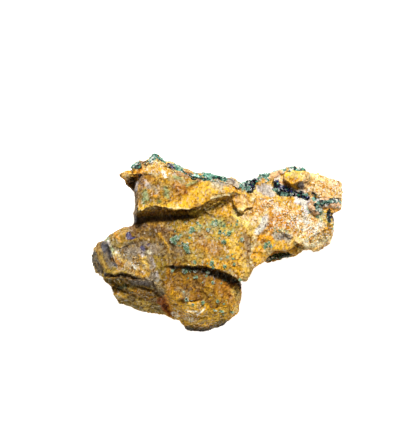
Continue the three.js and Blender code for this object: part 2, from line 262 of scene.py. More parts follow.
SHAPES = [
    # upper ledge: the step between its brown lump and the yellow plane, and a hump beside it
    Step([(-8.4, 24.6), (-12.6, 21.4), (-16.6, 15.6)], 3.4, -0.9),
    Cut([(-15.4, 22.4), (-14.2, 19.6)], 2.6, 0.7),
    Cut([(-21.6, 28.2), (-20.8, 26.8)], 0.9, 0.4),
    Step([(-4, 18.6), (1, 19.4), (6.6, 20.2)], 1.6, 0.5),
    Cut([(-27, 30), (-20, 29.4)], 2.2, -0.4),
    # the point at its left end: a thin slab over a dark hollow
    Step([(-31, 27.1), (-35, 26.9), (-40, 27.3)], 3.6, -2.2),
    # left lobe: its crest, groove, outer ridge and rim
    Cut([(-49.4, -3), (-49.2, -8), (-47.4, -12)], 2.4, 0.9),
    Cut([(-44.4, 1.8), (-43.2, -1.4), (-41.6, -5), (-40.6, -9)], 0.9, 0.8),
    Cut([(-45.2, -0.6), (-44.2, -5), (-42.2, -9.6)], 2.2, -0.7),
    Cut([(-47.4, -2.4), (-46.4, -7), (-43.6, -11.4)], 1.2, 0.8),
    Step([(-41, -1.6), (-38, -2.2), (-35.6, -0.8), (-32.6, 1)], 2.2, 0.9),
    Cut([(-33.8, -9), (-30, -11)], 1.4, 0.5),
    # bench: the shell-like ridge, its groove, and the lumps beside it
    Cut([(20.2, 10.8), (18.8, 7.4), (16.4, 4.2)], 1.5, 1.3),
    Cut([(21.6, 8.6), (20, 5), (17.8, 3.2)], 0.9, -0.9),
    Cut([(17.8, 1.8), (20.6, 1.6)], 1.9, 1),
    Cut([(15.6, -3.6), (17.2, -2.6)], 1.7, 0.9),
    Cut([(14, 4), (13.6, -2), (13, -7)], 1, 0.5),
    Cut([(11.4, 3), (12, -3)], 1.4, -0.6),
    Cut([(-24, 4), (-20, -1), (-19, -5)], 1.2, 0.5),
    Cut([(-22, -3), (-15, -1.4)], 2, -0.5),
    # right arm
    Cut([(24, 3.4), (27, 3)], 1.7, 0.4),
    Cut([(28.6, 2.4)], 1.9, 1),
    Cut([(27, 5), (30.4, 4.6)], 1.4, -0.5),
    Cut([(30.4, 0), (32.8, -1.4), (34.6, -2.4)], 1.1, -1),
    Cut([(9, 17), (12, 16.4)], 5, -0.6),
    Cut([(7.4, 12.4), (11.4, 12), (15, 14)], 1.6, 0.6),
    Cut([(6.4, 17.4), (7, 15)], 1.2, 0.7),
    Cut([(30.6, 8.4), (31.4, 1.6)], 1.2, -0.7),
    Cut([(22, 14), (28, 12)], 1.6, 0.5),
    Cut([(33, 9), (40, 6)], 2.2, 0.5),
    Cut([(33.6, -1.4), (41, -1.2)], 3.2, 0.9),
    # lower lobe: its bright face, and the gully to its left
    Cut([(-15.4, -23.4), (-11, -23.8), (-7, -23)], 0.8, -0.8),
    Cut([(-8, -28.4), (-5, -26.2)], 0.6, 0.5),
    Cut([(-12.6, -26.8), (-8.6, -27.4)], 0.6, 0.5),
    Cut([(-14, -27.2), (-5, -27.4)], 3.4, 1),
    Cut([(-13, -31), (-2, -31.6)], 2.8, 0.5),
    Cut([(-22.8, -19), (-21.2, -24), (-18.6, -28.6)], 1.5, -0.8),
    # left foot: the break above it and its splintered ridges
    Cut([(-45, -12.8), (-42, -13.4), (-38.4, -12.9), (-33.6, -14), (-30.8, -14.6)], 1.1, -1.2),
    Cut([(-44, -12), (-38.4, -11.6), (-33, -12.8), (-29, -14)], 1.2, 0.5),
    Cut([(-44, -15.6), (-39, -18.4)], 0.8, 0.6),
    Cut([(-43, -17.4), (-36, -20.4)], 0.7, -0.7),
    Cut([(-38, -16.8), (-31, -20.4)], 0.8, 0.7),
    Cut([(-41, -20.4), (-34, -23.4)], 0.8, 0.6),
    Cut([(-36, -19.8), (-29, -23.4)], 0.7, -0.6),
    Cut([(-33, -17.4), (-27, -19.2), (-23.6, -21)], 0.8, -0.9),
]

# where the stone is drawn sideways: a place in plan, its reach, and the way it moves
DRAWN = [
    ((-38.6, 27), 3, (-0.8, 0)), ((-36.4, 28.8), 2.4, (-0.3, 0.7)), ((-33.4, 32), 2, (-0.7, 0.6)),
    ((-29.2, 34.6), 3.6, (0.7, -1.6)), ((-21.6, 33), 3.4, (-0.3, -0.8)), ((-3.6, 28), 2.6, (0, 0.4)),
    ((6.4, 26), 3, (0.4, 0.6)), ((-36, 24.2), 2, (-0.2, -0.2)), ((-34, 21.4), 2, (-0.3, -0.3)),
    ((-33, 18), 4.4, (0.7, 0)), ((-33.4, 11.4), 2.4, (-0.4, 0)),
    ((-35, 7.2), 3, (0.1, -0.9)), ((-48.6, 0), 3, (0.4, -0.4)), ((-48.6, -11.4), 3, (0.4, 0.4)),
    ((-50, -7), 3.4, (-0.6, 0)), ((11.6, -15.8), 2.6, (0.3, -0.5)), ((12.4, 24.6), 4, (0, 0.4)),
    ((48.4, 12.8), 2.8, (0.1, -0.8)), ((33, 30.4), 5, (0, -0.8)), ((37.4, 28), 2.6, (0, 0.6)),
    ((41, 27), 3, (0.1, 0.6)), ((17.6, 27), 3, (0, 0.6)), ((-8, 28.2), 3, (0, -0.4)),
    ((-37, -25), 5, (0.1, 0.4)), ((-42.6, -18), 4, (0.3, 0.1)), ((5, -32), 5, (-0.2, 0.4)),
    ((-1, -35), 5, (0, 0.3)), ((-15, -32), 3.4, (0.3, 0.6)), ((36.6, -3.4), 3, (0, 0.5)),
    ((20, -8), 2, (0, -0.5)), ((22, -7.6), 3.4, (0, 0.4)), ((29, -5.8), 3.4, (0, 0.4)),
    ((46.4, 2), 3, (-0.3, 0)), ((47, 8), 4, (0.4, 0)),
]
# where the rock alone is drawn out, over the malachite along its rim
ROCK_DRAWN = [
    ((-24, 31.8), 4, (0, 1.2)), ((-16.6, 28.6), 3, (0.3, 0.9)), ((-12.4, 26.8), 4, (0.3, 1.6)),
    ((-7, 25.4), 3.6, (0.2, 1.5)), ((-1.6, 25), 3.6, (0, 1.2)), ((32, 28.6), 5, (0, 1.6)),
    ((37, 26), 3, (1, 0)), ((26, 27.4), 2.6, (-0.2, 0.9)), ((12.7, 11.8), 3, (-0.7, 1.1)),
    ((29.4, 27.2), 3.2, (-1, 0.1)), ((30.4, 24.8), 3, (-1.1, -0.2)),
    ((28.2, 25.8), 2.6, (-0.9, -0.6)),
]
SWOLLEN = 0.14  # what the even facets and the relief add all round


def drawn(spots, places):
    """The spots, drawn sideways around the places."""
    moved = spots.copy()
    for place, reach, way in places:
        distance = np.linalg.norm(spots[:, :2] - place, axis=1)
        moved[:, :2] += smoothstep(reach, 0.2 * reach, distance)[:, None] * way
    return moved


END_FADE = 5  # how quickly a line dies out at its ends


def carved(spots, wander):
    """How far the shapes raise each spot, or cut it down."""
    heights = np.zeros(len(spots))
    for shape in SHAPES:
        distance, side, along = off_path(shape.path, spots)
        fade = np.clip(END_FADE * np.minimum(along, 1 - along) + 0.35, 0, 1)
        if isinstance(shape, Step):
            off = side * distance + 0.5 * wander
            drop = np.exp(-np.abs(off) / shape.reach) * smoothstep(-0.4, 0.4, off)
            heights += shape.height * fade * drop
        else:
            off = np.clip(1 - (distance + 0.4 * wander) / shape.width, 0, 1)
            heights += shape.height * fade * off * off * (3 - 2 * off)
    return heights


# ---- colours ----
def linear(hexes):
    """The linear colour of a hex code."""
    values = np.array([int(hexes[i:i + 2], 16) for i in (0, 2, 4)]) / 255
    return np.where(values <= 0.04045, values / 12.92, ((values + 0.055) / 1.055) ** 2.4)


COLOURS = {name: linear(code) for name, code in {
    # pale
    "white": "f8f4ea", "shell": "efe2c0", "cream": "ebcf92", "pale_yellow": "ecd084",
    "pink": "ecc092", "lavender": "dcd2d6", "moon": "c9bec4",
    # yellow and orange
    "yellow": "e6b63e", "sand": "dcb766", "mustard": "d8a634", "golden": "dfa82e", "amber": "e8a828",
    "orange": "e29c2c", "ochre": "c9993e", "dull_ochre": "ae8438", "deep_orange": "cc7e12",
    # brown
    "tan": "b0874c", "orange_brown": "ab721a", "rose": "ab744a", "burnt": "a45a0e", "rust": "96591a",
    "brown": "8a6120", "mauve": "a08470", "purple_brown": "7d5a44", "bronze": "7c6236",
    # painted_shadow_umber and painted_shadow_black are painted shadow, laid on shaded walls, creases and
    # hollows
    "dark_rust": "5e2a0c", "dark_brown": "523618", "painted_shadow_umber": "3a2408", "painted_shadow_black": "1a0f05",
    # grey
    "haze": "a89c92", "grey_quartz": "a08a64", "grey_violet": "8f7c70", "grey_stone": "7f7062",
    "slate": "727076", "dark_slate": "57504a",
    # green
    "khaki": "b4a04e", "teal": "8dbba0", "teal_grey": "93a37e", "olive": "93772c", "green": "5c8156",
    "dark_olive": "5c4c1c", "dark_green": "34482c",
    # blue and violet
    "blue": "4a46a0", "navy": "303268", "plum": "3c2c44",
    # the malachite, from its shaded foot to its tips
    "shade_black": "10160c", "malachite_shade": "0d3328", "malachite": "36866a",
    "malachite_pale": "b4e0cc", "tuft_shade": "24421f", "tuft": "558258", "tuft_pale": "b0d2ac",
    # the azurite
    "azurite_shade": "06060c", "azurite": "12132e", "azurite_bright": "3238a8",
}.items()}


class Stain(NamedTuple):
    """A colour along a path over the stone, soft at its edge and broken up into specks."""

    colour: str
    path: list
    radius: float
    amount: float = 0.8
    feather: float = 1.0
    broken: float = 0.5


# each lies over the ones before it
STAINS = [Stain(*row) for row in [
    # the bench
    ("dull_ochre", [(-30, 2), (-10, 3), (8, 4)], 13, 0.85, 4),
    ("orange_brown", [(-15, -15), (-4, -18), (-6, -28)], 9, 0.95, 2, 0.1),
    ("khaki", [(-14, 8), (-8, 6), (-2, 6)], 6, 0.5, 2, 0.7),
    ("bronze", [(-14, 6), (-6, 5)], 3.4, 0.5, 2, 0.7),
    ("olive", [(-13, 3), (-3, 2)], 2.6, 0.5, 1.4, 1.1),
    ("olive", [(-16, 8), (-8, 8)], 1.4, 0.5, 1.2, 1),
    ("khaki", [(-14, -4), (-8, -8)], 4, 0.5, 2, 0.8),
    ("bronze", [(-33, 4), (-24, 3), (-16, -3)], 5, 0.6, 3),
    ("bronze", [(-33, 5), (-24, 2), (-18, -2)], 4.4, 0.5, 2, 0.7),
    ("bronze", [(-16, -5), (-6, -7)], 2.4, 0.45, 2, 0.7),
    ("purple_brown", [(-33, 5.2), (-27, 4.6), (-20, 3.6)], 3.4, 0.9),
    ("dark_brown", [(-25.6, 4.4)], 2, 0.8),
    ("dark_brown", [(-31, 5), (-24, 2.4)], 2.2, 0.5, 1.2, 1),
    ("grey_stone", [(-21, -2.6), (-16.4, -0.4)], 2.8, 0.7, 1.5),
    ("bronze", [(-20.4, -1), (-16.6, 0.6)], 1.9, 0.7, 1, 0.6),
    ("purple_brown", [(-21.6, 0), (-16, -3)], 2.8, 0.5, 1, 0.8),
    ("grey_violet", [(-22, -1.4), (-15, -3.4)], 1.9, 0.6, 1, 0.7),
    ("bronze", [(-28, 1), (-20, -1)], 5, 0.45, 2, 0.6),
    ("golden", [(-23, 3.4), (-20, -1), (-19.4, -4)], 0.9, 0.7),
    ("golden", [(-14, 7), (-6, 7)], 1.8, 0.6, 1.2, 0.8),
    ("olive", [(-20, 7), (-10, 8.4), (-2, 11)], 1.2, 0.6),
    ("golden", [(0, 12.6), (6, 12.4)], 2, 0.8),
    ("pale_yellow", [(9.4, 11.4), (13, 9.4)], 3.4, 0.95, 1.4, 0.3),
    ("sand", [(13.4, 9.4), (14, 7), (13.4, 4.6)], 2, 0.8, 1, 0.3),
    ("yellow", [(3.6, 5), (6.6, 0), (8, -5)], 3, 0.85, 1.6),
    ("golden", [(-4, -8), (6, -9), (10, -12)], 2, 0.7, 1.4),
    ("rose", [(-6, 0.8), (-1, -2.4)], 2.8, 0.6, 1.4, 0.7),
    ("rose", [(-9, 3), (-4, 4.6)], 1.6, 0.4, 1, 0.8),
    ("khaki", [(1, 8), (5, 5), (7, 6)], 2, 0.5, 1.2, 0.8),
    ("teal", [(-8, 6), (0, 8), (6, 5)], 1.5, 0.5, 1, 1.3),
    ("cream", [(9, 11.6), (12.6, 10)], 1.9, 0.6, 1, 0.6),
    ("mauve", [(11, 2.6), (12.4, -1.4), (12.4, -5)], 1.5, 0.8),
    ("purple_brown", [(11.6, 1), (12.6, -3)], 0.8, 0.6, 0.8, 0.6),
    ("shell", [(14.6, 2), (14.2, -3), (13.2, -7.4)], 1, 0.8),
    ("sand", [(10.6, -8), (11.6, -13)], 1.6, 0.7),
    # the upper ledge
    ("orange_brown", [(-29, 20), (-15, 20), (0, 20)], 7.6, 0.6, 2),
    ("ochre", [(-29, 20), (-15, 20), (2, 21)], 7.6, 0.6, 2, 0.8),
    ("orange_brown", [(-29, 20), (-20, 20)], 7, 0.35, 2, 0.5),
    ("bronze", [(-30, 24), (-29, 15.4), (-22, 17), (-14, 25)], 2.6, 0.5, 1.5, 1),
    ("orange", [(-29, 21), (-22, 19), (-17, 18)], 3.4, 0.5, 1, 1),
    ("bronze", [(-29.4, 18.6), (-24, 16)], 2.2, 0.5, 1, 0.8),
    ("golden", [(-25, 26), (-20, 24), (-21, 15)], 2.4, 0.5, 1, 1),
    ("sand", [(-28, 31.4), (-22, 31.4), (-15.6, 29.4)], 2.8, 0.95, 1, 0.3),
    ("pale_yellow", [(-26, 30.6), (-18, 29.4)], 1.6, 0.55, 1, 0.8),
    ("orange_brown", [(-28, 29.4), (-24, 30.4), (-18, 30)], 1.4, 0.5, 1, 1.1),
    ("golden", [(-26, 29.4), (-19, 29)], 1.4, 0.6, 1, 0.8),
    ("purple_brown", [(-33, 30.6), (-29, 32.2), (-26, 33)], 1.2, 0.8, 0.8, 0.6),
    ("white", [(-28, 32.6), (-24.4, 32.2)], 0.7, 0.6, 0.6, 1),
    ("rose", [(-30.4, 27.6), (-30, 23)], 1.5, 0.9),
    ("purple_brown", [(-30.6, 27.4), (-29.8, 24)], 1.4, 0.9, 1, 0.6),
    ("moon", [(-29.2, 25.4), (-28, 23.4), (-27.2, 21.6)], 1.1, 0.75, 1, 0.8),
    ("ochre", [(-30, 18.4), (-26.4, 16), (-24, 18)], 1.3, 0.6, 1, 0.9),
    ("haze", [(-25.8, 22.6), (-24.4, 21)], 0.9, 0.7, 1, 0.7),
    ("lavender", [(-28.2, 22.8)], 1, 0.5, 0.8, 0.7),
    ("rust", [(-27, 26.4), (-25.8, 24.8)], 1.2, 0.6),
    ("ochre", [(-24, 25), (-20, 22)], 2.2, 0.5, 1, 0.8),
    ("grey_quartz", [(-18.2, 26.4), (-14.2, 24.6)], 2, 0.8, 1, 0.6),
    ("rose", [(-17, 28), (-11, 27.4), (-6.6, 25)], 1.7, 0.9, 1, 0.5),
    ("purple_brown", [(-12, 27.6), (-6.4, 25.4)], 0.9, 0.7, 1, 0.9),
    ("cream", [(-15, 26.2), (-11.4, 25.4)], 0.8, 0.6, 1, 0.9),
    ("teal_grey", [(-12.4, 23), (-8.4, 24.6)], 0.9, 0.8),
    ("orange_brown", [(-16.4, 22.4), (-14.6, 20)], 2.5, 0.9, 0.8, 0.4),
    ("deep_orange", [(-16.6, 22.4), (-15.4, 20.4)], 1.2, 0.5, 0.8, 0.8),
    # the burnt and dark rust line down the brown lump's right edge: partly its own reddish edge, partly
    # painted shade
    ("burnt", [(-13.4, 22.9), (-12.4, 20.2), (-14, 18)], 0.7, 0.9),
    ("dark_rust", [(-13, 22.4), (-12.4, 20.4)], 0.35, 0.6),
    ("bronze", [(-29, 19), (-24, 22), (-18, 20)], 3.4, 0.5, 1.2, 1.1),
    ("bronze", [(-30, 20), (-26, 16.6), (-21, 17)], 2.8, 0.4, 1.4, 0.8),
    ("mustard", [(-17, 15), (-11, 16.6), (-8, 20), (-5, 22.6)], 2.7, 0.95, 1, 0.25),
    ("mustard", [(-7, 18.4), (-3.6, 21)], 3, 0.95, 1, 0.25),
    ("golden", [(-14, 15.4), (-9, 18)], 1.4, 0.6, 1, 0.7),
    ("teal_grey", [(-20.6, 22), (-20.4, 18.4)], 1.2, 0.85, 0.8, 0.7),
    ("teal_grey", [(-17.2, 26.6), (-15, 25.8)], 0.9, 0.8, 0.8, 0.7),
    ("teal_grey", [(-29, 20.6), (-28.4, 17.6)], 1.2, 0.85, 0.8, 0.7),
    ("green", [(-29.8, 17.2), (-29, 15.2)], 0.6, 0.8),
    ("green", [(-27.4, 17), (-27, 15.6)], 0.4, 0.7),
    ("green", [(-23.6, 17.4), (-22.8, 15.8)], 0.7, 0.8),
    ("white", [(-22, 28.4)], 0.6, 1, 0.3, 0.1),
    ("white", [(-21.4, 28.2), (-20.8, 26.6)], 0.65, 1, 0.3, 0.1),
    ("haze", [(-1.4, 24.2), (2.4, 22.6)], 2.6, 0.95, 1, 0.1),
    ("moon", [(-1.4, 24.2), (1.8, 23)], 1.4, 0.9, 1, 0.4),
    ("haze", [(-0.6, 23.8), (1.8, 22.6)], 1.2, 0.5, 1, 0.5),
    ("sand", [(-1.6, 22.6), (2.4, 21.4)], 1.1, 0.8, 1, 0.7),
    ("yellow", [(-3.4, 23.6), (-1, 20.6)], 1.6, 0.7),
    ("haze", [(-0.8, 24), (2, 22.6)], 1.9, 0.6, 1, 0.5),
    ("shell", [(-0.8, 24), (1.6, 22.8)], 1, 0.35, 1, 0.8),
    ("haze", [(-1.4, 23.4), (2, 22)], 1.6, 0.35, 1, 0.6),
    ("golden", [(3.4, 21.6), (7.4, 20.4)], 1.7, 0.9),
    # painted highlight: the shell lines along the ledge's lower edges where the light catches them, with
    # the yellow band beside them partly the stone's own yellow
    ("shell", [(-2.4, 18), (2.6, 19), (6.4, 19.8)], 0.7, 0.7),
    ("yellow", [(-30.6, 13.8), (-24.6, 15.2), (-18, 14.8), (-12, 14.6)], 1.2, 0.85, 0.8, 0.4),
    ("shell", [(-31.8, 12.5), (-27.6, 14), (-20.4, 14), (-10.8, 13.6)], 0.45, 0.8, 0.6, 0.5),
    # the wall under it, darkened with painted shadow below the ledge's lip, and the plate
    # painted shadow: the umber, dark brown and dark olive bands on the wall under the ledge, over the
    # wall's own brown and olive
    ("painted_shadow_umber", [(-33, 9.4), (-27, 10.2), (-20, 10.8), (-13, 11.6), (-9.6, 12)], 2, 1, 0.6, 0.1),
    ("painted_shadow_umber", [(-33, 8.4), (-26, 8.8), (-18, 9.6), (-12, 10.6)], 1, 0.9, 0.7, 0.2),
    ("brown", [(-26, 7.4), (-16, 8.4), (-8, 10)], 1, 0.6, 1, 0.6),
    ("dark_brown", [(-11, 12), (-6, 13), (0, 14.8)], 0.8, 0.5),
    ("brown", [(-32, 11.2), (-26, 11.8), (-18, 12), (-11, 12.4)], 1, 0.85, 0.7, 0.5),
    ("olive", [(-24, 11.6), (-16, 11.8), (-9, 12.2)], 0.6, 0.6, 0.7, 0.7),
    ("dark_olive", [(-30, 10.4), (-22, 10.8), (-14, 11.4)], 0.5, 0.7, 0.6, 0.8),
    ("olive", [(-10, 11.6), (-4, 13.6), (2, 15.8), (8, 18)], 1.5, 0.85, 0.8),
    ("dark_olive", [(-6, 12.8), (1, 15.4)], 0.6, 0.5),
    ("ochre", [(7.6, 17), (13, 16.4)], 3, 0.7, 0.8),
    ("orange_brown", [(7.8, 16.4), (13, 16)], 2.6, 0.45, 0.8, 0.7),
    ("orange", [(7.8, 16.4), (13, 16)], 2.4, 0.6, 0.8, 0.8),
    ("cream", [(9, 18), (12, 15)], 1.2, 0.6, 0.8, 1),
    ("dark_green", [(6.2, 14), (7.4, 12.8), (9, 12.8)], 0.8, 0.85),
    ("ochre", [(4.6, 17), (6.2, 15)], 1.3, 0.9, 0.8, 0.2),
    ("pink", [(8.6, 17.6), (13, 16.6)], 1.8, 0.5, 0.8, 0.8),
    # painted shadow along the plate's lower edge
    ("dark_olive", [(8, 12.6), (11.4, 12.8), (14.4, 15)], 0.45, 0.8),
    ("white", [(15.6, 18)], 0.8, 0.8),
    # the right arm
    ("pink", [(18, 14), (28, 9), (40, 7), (44, 3)], 8.5, 0.85, 2),
    ("pale_yellow", [(18, 16), (30, 9), (40, 6)], 7.5, 0.6, 2, 0.8),
    ("orange", [(17, 15), (24, 12), (31, 10)], 4, 0.7, 2, 0.7),
    ("rose", [(18, 14), (23, 9), (28, 8)], 2.6, 0.45, 1.4, 1),
    ("deep_orange", [(21, 7), (23, 4.6)], 1.8, 0.8),
    ("deep_orange", [(30, 8.4), (31.4, 1.4)], 1.2, 0.8),
    ("orange", [(24, 8.4), (29, 6)], 2.4, 0.65, 1, 0.7),
    ("deep_orange", [(22, 10.4), (26, 7), (29, 6)], 2.6, 0.5, 1.2, 1),
    ("white", [(33.6, 8), (39, 6), (37, 3.4)], 3.4, 0.9, 1.4, 0.7),
    ("white", [(29.6, 10.8), (31.4, 8.6)], 1.2, 0.85, 0.8, 0.5),
    ("yellow", [(30, 17), (32.4, 14)], 1.6, 0.8, 0.8, 0.6),
    ("white", [(21, 16), (24.6, 13.6)], 1.2, 0.6, 0.8, 1.1),
    ("white", [(26.6, 9.6), (30, 12)], 1, 0.7, 0.8, 1.1),
    ("golden", [(25, 17.4), (31, 16.8)], 1.8, 0.95),
    ("mustard", [(27, 17.4), (31, 17.6)], 1, 0.8),
    ("yellow", [(21, 18.4), (27, 15.4), (30, 13)], 1.2, 0.7, 0.8, 1.1),
    ("yellow", [(26, 4.8), (31, 6), (36, 0)], 1, 0.7, 0.8, 1.1),
    # painted light: the yellow and pale yellow here are brightened against the end block's shadow, over
    # the stone's own gold
    ("yellow", [(39, 11.4), (44, 10.6), (44.6, 7.4)], 2, 1, 0.8, 0.2),
    ("pale_yellow", [(42, 11), (44.4, 9)], 1.5, 0.9, 0.8, 0.3),
    ("orange", [(44.6, 6), (43.4, 0.6)], 1.5, 0.7),
    ("lavender", [(32.6, 18), (36.4, 15.6), (35.4, 13)], 2.4, 1, 0.7, 0),
    ("white", [(33.2, 17.4), (35.6, 14.4)], 1.4, 0.8, 0.8, 0.4),
    ("haze", [(35.8, 16.6), (36, 13.4)], 0.6, 0.5, 0.8, 0.9),
    ("golden", [(33, 18.4)], 0.5, 0.8, 0.5),
    ("haze", [(33, 10.8), (35.4, 10)], 1.3, 0.7, 0.8, 0.7),
    ("cream", [(32, 0), (36, 1), (42, 0)], 3.4, 1, 1, 0.2),
    ("shell", [(34, 0), (40, -0.4)], 2, 0.8, 1, 0.7),
    ("orange", [(31, 0), (36, -2), (42, -1.6)], 1.2, 0.6, 0.8, 0.9),
    # the shell and pink along the arm's lower edge: partly its own pink cream, partly painted light that
    # lifts the shade of its south-facing faces
    ("shell", [(36, -2.2), (42, -2), (45, 1)], 1.9, 0.9, 0.8, 0.3),
    ("pink", [(36, -3), (42, -2.8), (45, 0)], 1.3, 0.8, 0.8, 0.5),
    ("golden", [(37, -2.6), (41.6, -2.4)], 0.7, 0.7, 0.8, 0.8),
    ("rust", [(43, -0.8)], 1.2, 0.7),
    ("cream", [(16, 5), (18.2, 7.6), (18.8, 11)], 2, 0.7, 1, 0.5),
    ("lavender", [(16.2, 4.6), (18.2, 7), (19.2, 10)], 1.5, 0.85, 0.6, 0.25),
    ("white", [(16, 4.4), (17.8, 6.4), (18.8, 9.4)], 1, 0.95, 0.5, 0.2),
    ("tan", [(17.6, 3.4), (19.2, 4.4), (20.8, 6.8)], 0.6, 0.6),
    ("orange", [(17.4, 2), (21, 1.6)], 1.7, 0.95, 0.6, 0.2),
    ("amber", [(17.8, 2.2), (20.4, 2)], 1.1, 0.8, 0.6, 0.4),
    ("amber", [(14.8, -4.8), (17, -2.8)], 1.9, 1, 0.6, 0.1),
    ("yellow", [(15.4, -3.8)], 0.9, 0.8, 0.6, 0.6),
    ("yellow", [(15.4, -7)], 1.3, 0.9),
    ("haze", [(23.6, 3), (28.4, 2.4)], 1.7, 1, 0.7, 0.2),
    ("slate", [(24.4, 2.6), (28, 2.2)], 0.8, 0.5, 0.7, 0.7),
    ("teal", [(22.6, 4.6), (26, 5), (29.6, 4.2)], 0.6, 0.6, 0.6, 0.8),
    ("golden", [(22.6, -1), (30.6, -2)], 1.9, 0.8),
    ("plum", [(46.4, 9.2), (46.6, 11.6)], 0.9, 0.95),
    ("lavender", [(46.2, 4.6)], 0.8, 0.7),
    ("moon", [(17.8, 22), (21, 20.4)], 2.2, 0.9, 0.8, 0.2),
    ("haze", [(18, 22.4), (21, 20)], 1.7, 0.55, 0.8, 0.7),
    ("haze", [(19, 21.6), (20.6, 19.6)], 0.8, 0.5, 0.8, 0.8),
    ("shell", [(22.4, 21), (23.4, 19.6)], 0.9, 0.7, 0.8, 0.8),
    ("pale_yellow", [(14, 21.2)], 1.5, 0.8),
    ("pink", [(23.4, 27), (24.6, 25)], 2.2, 0.9),
    ("green", [(39.4, 13), (42, 11.6)], 1.3, 0.9, 0.8, 0.8),
    ("teal", [(40.4, 10.2), (41.4, 9.4)], 1.1, 0.7, 0.8, 0.8),
    ("teal", [(35.4, 14.4), (37.6, 12.8)], 0.5, 0.6),
    # the hollow, its knob and the end block
    ("lavender", [(26, 23), (29, 20.4), (35, 20), (37, 23)], 1.8, 0.7, 1, 0.6),
    ("lavender", [(23.2, 27.4), (25.6, 25)], 1.9, 0.8, 0.8, 0.5),
    ("white", [(36.2, 23.4), (37.6, 21)], 1.2, 0.9, 0.8, 0.4),
    ("yellow", [(27.6, 27.8), (31, 27.4), (35.6, 26.4)], 2.5, 1, 0.6, 0.1),
    ("pale_yellow", [(28.4, 28.4), (33, 27.6)], 1.2, 0.7, 0.8, 0.7),
    ("shell", [(29.6, 27.2), (35, 26.4)], 1.4, 0.45, 0.8, 0.8),
    ("orange", [(29.6, 25.4), (33.4, 25.2)], 0.8, 0.8),
    # painted light: the pink, amber and moon on the knob's shaded walls are paler than their own brown
    # and grey
    ("pink", [(26.2, 25.2), (27.6, 23.6)], 1.3, 1, 0.6, 0.1),
    ("rose", [(26.6, 25), (27.8, 24)], 0.7, 0.5, 0.6, 0.6),
    ("amber", [(28.2, 23.8), (31.2, 22.8)], 1.4, 1, 0.6, 0.1),
    ("dark_slate", [(32.4, 22.8)], 0.9, 0.95, 0.5, 0.1),
    ("moon", [(34, 23.2), (35.2, 23.8)], 1.6, 0.95, 0.5, 0.1),
    ("slate", [(34.2, 23), (35, 23.6)], 0.8, 0.4, 0.5, 0.8),
    ("dark_green", [(30.6, -0.2), (32.4, -1.6), (34, -2)], 0.8, 0.9),
    ("pink", [(38, 25), (45, 22), (47, 19)], 4.6, 0.95, 1.2, 0.3),
    ("orange", [(41, 24), (46, 20), (40, 19)], 3.4, 0.5, 1, 1),
    ("cream", [(37.6, 26), (42, 24.6)], 1.8, 0.8),
    ("shell", [(38, 24), (46, 20)], 4, 0.4, 1, 0.8),
    ("orange", [(42, 14.4), (48, 14.2)], 1.5, 0.85),
    # the left lobe
    ("grey_stone", [(-44, -4), (-35, -6), (-26, -7)], 7, 0.9, 2, 0.3),
    ("dull_ochre", [(-40, -9), (-30, -10)], 4, 0.5, 2, 0.9),
    ("bronze", [(-41, 3.8), (-36, 2.8)], 3.2, 0.95, 0.8),
    ("dull_ochre", [(-40, 3.6), (-36.6, 2.6)], 2.2, 0.8, 0.8, 0.6),
    ("orange", [(-40.8, 3.8), (-39.8, 2), (-38.6, 0.6)], 0.6, 0.8, 0.6, 0.7),
    ("orange", [(-39.2, 0.9)], 1.1, 0.8),
    ("olive", [(-42, 0.2), (-38.8, -1)], 1.8, 0.6),
    ("teal_grey", [(-44.2, 1.8), (-43, -1.4), (-41.6, -4.2)], 0.8, 0.95, 0.5, 0.3),
    ("lavender", [(-43.8, 0.8), (-43.2, -1)], 0.5, 0.9, 0.4, 0.2),
    ("slate", [(-45.4, -1.6), (-44.2, -5), (-42.2, -9.2)], 2.2, 1, 0.7, 0.1),
    ("grey_quartz", [(-44.8, -5), (-43, -9)], 1.2, 0.4, 0.7, 0.8),
    ("olive", [(-47.4, -3), (-46.4, -7), (-43.6, -11.6)], 1.4, 0.95, 0.6, 0.2),
    ("tan", [(-47.4, -3), (-46.4, -7), (-43.6, -11.6)], 1.3, 0.75, 0.8, 0.6),
    ("bronze", [(-47, -4), (-44, -11)], 1.1, 0.6, 0.8, 1),
    ("grey_stone", [(-46.6, -2), (-45.6, -6.6), (-43, -11)], 0.7, 0.5, 0.8, 0.8),
    ("sand", [(-46.8, -5), (-44.4, -10)], 0.6, 0.4, 0.8, 1.1),
    ("dark_slate", [(-49.8, -4), (-49, -8), (-46, -12.4)], 1.4, 0.95, 0.6, 0.2),
    ("tan", [(-47.6, 0), (-48, -2.6)], 1.2, 0.8),
    ("cream", [(-41, -4.6), (-38, -7), (-36, -8)], 1.3, 0.7, 0.8, 0.9),
    ("orange_brown", [(-41.4, -6), (-38.6, -8.4), (-36, -8)], 1.2, 0.7, 0.8, 0.9),
    ("haze", [(-36, -2.6), (-32, -3.4)], 1.6, 0.7, 1, 0.7),
    ("haze", [(-36.6, -9), (-34, -5.6)], 1.1, 0.7, 1, 0.8),
    ("bronze", [(-32, -6.4), (-31.4, -8)], 1, 0.6, 0.8, 0.8),
    ("rose", [(-39, -8)], 1.2, 0.6),
    ("white", [(-40.2, -3.8)], 0.6, 0.95, 0.3, 0.3),
    ("lavender", [(-30.8, -3.6), (-29.8, -5)], 0.9, 0.9, 0.5, 0.6),
    ("white", [(-27, -2.4), (-26.8, -4)], 0.6, 0.8, 0.5, 0.6),
    ("shell", [(-27.6, -3.4)], 1, 0.7),
    ("grey_violet", [(-25.4, -2), (-24, -4)], 1.9, 0.85),
    ("grey_violet", [(-33, -0.4), (-28, 0.6)], 1.2, 0.6, 1, 0.8),
    ("grey_violet", [(-37, -2.4), (-31.4, -3.4)], 1.6, 0.75, 1, 0.4),
    ("bronze", [(-22.6, -5.4), (-18.4, -7.4)], 2.8, 0.7, 1.2, 0.4),
    ("sand", [(-29, -6.4), (-28, -9)], 1.3, 0.8),
    ("orange", [(-27.8, -10.4)], 0.7, 0.8),
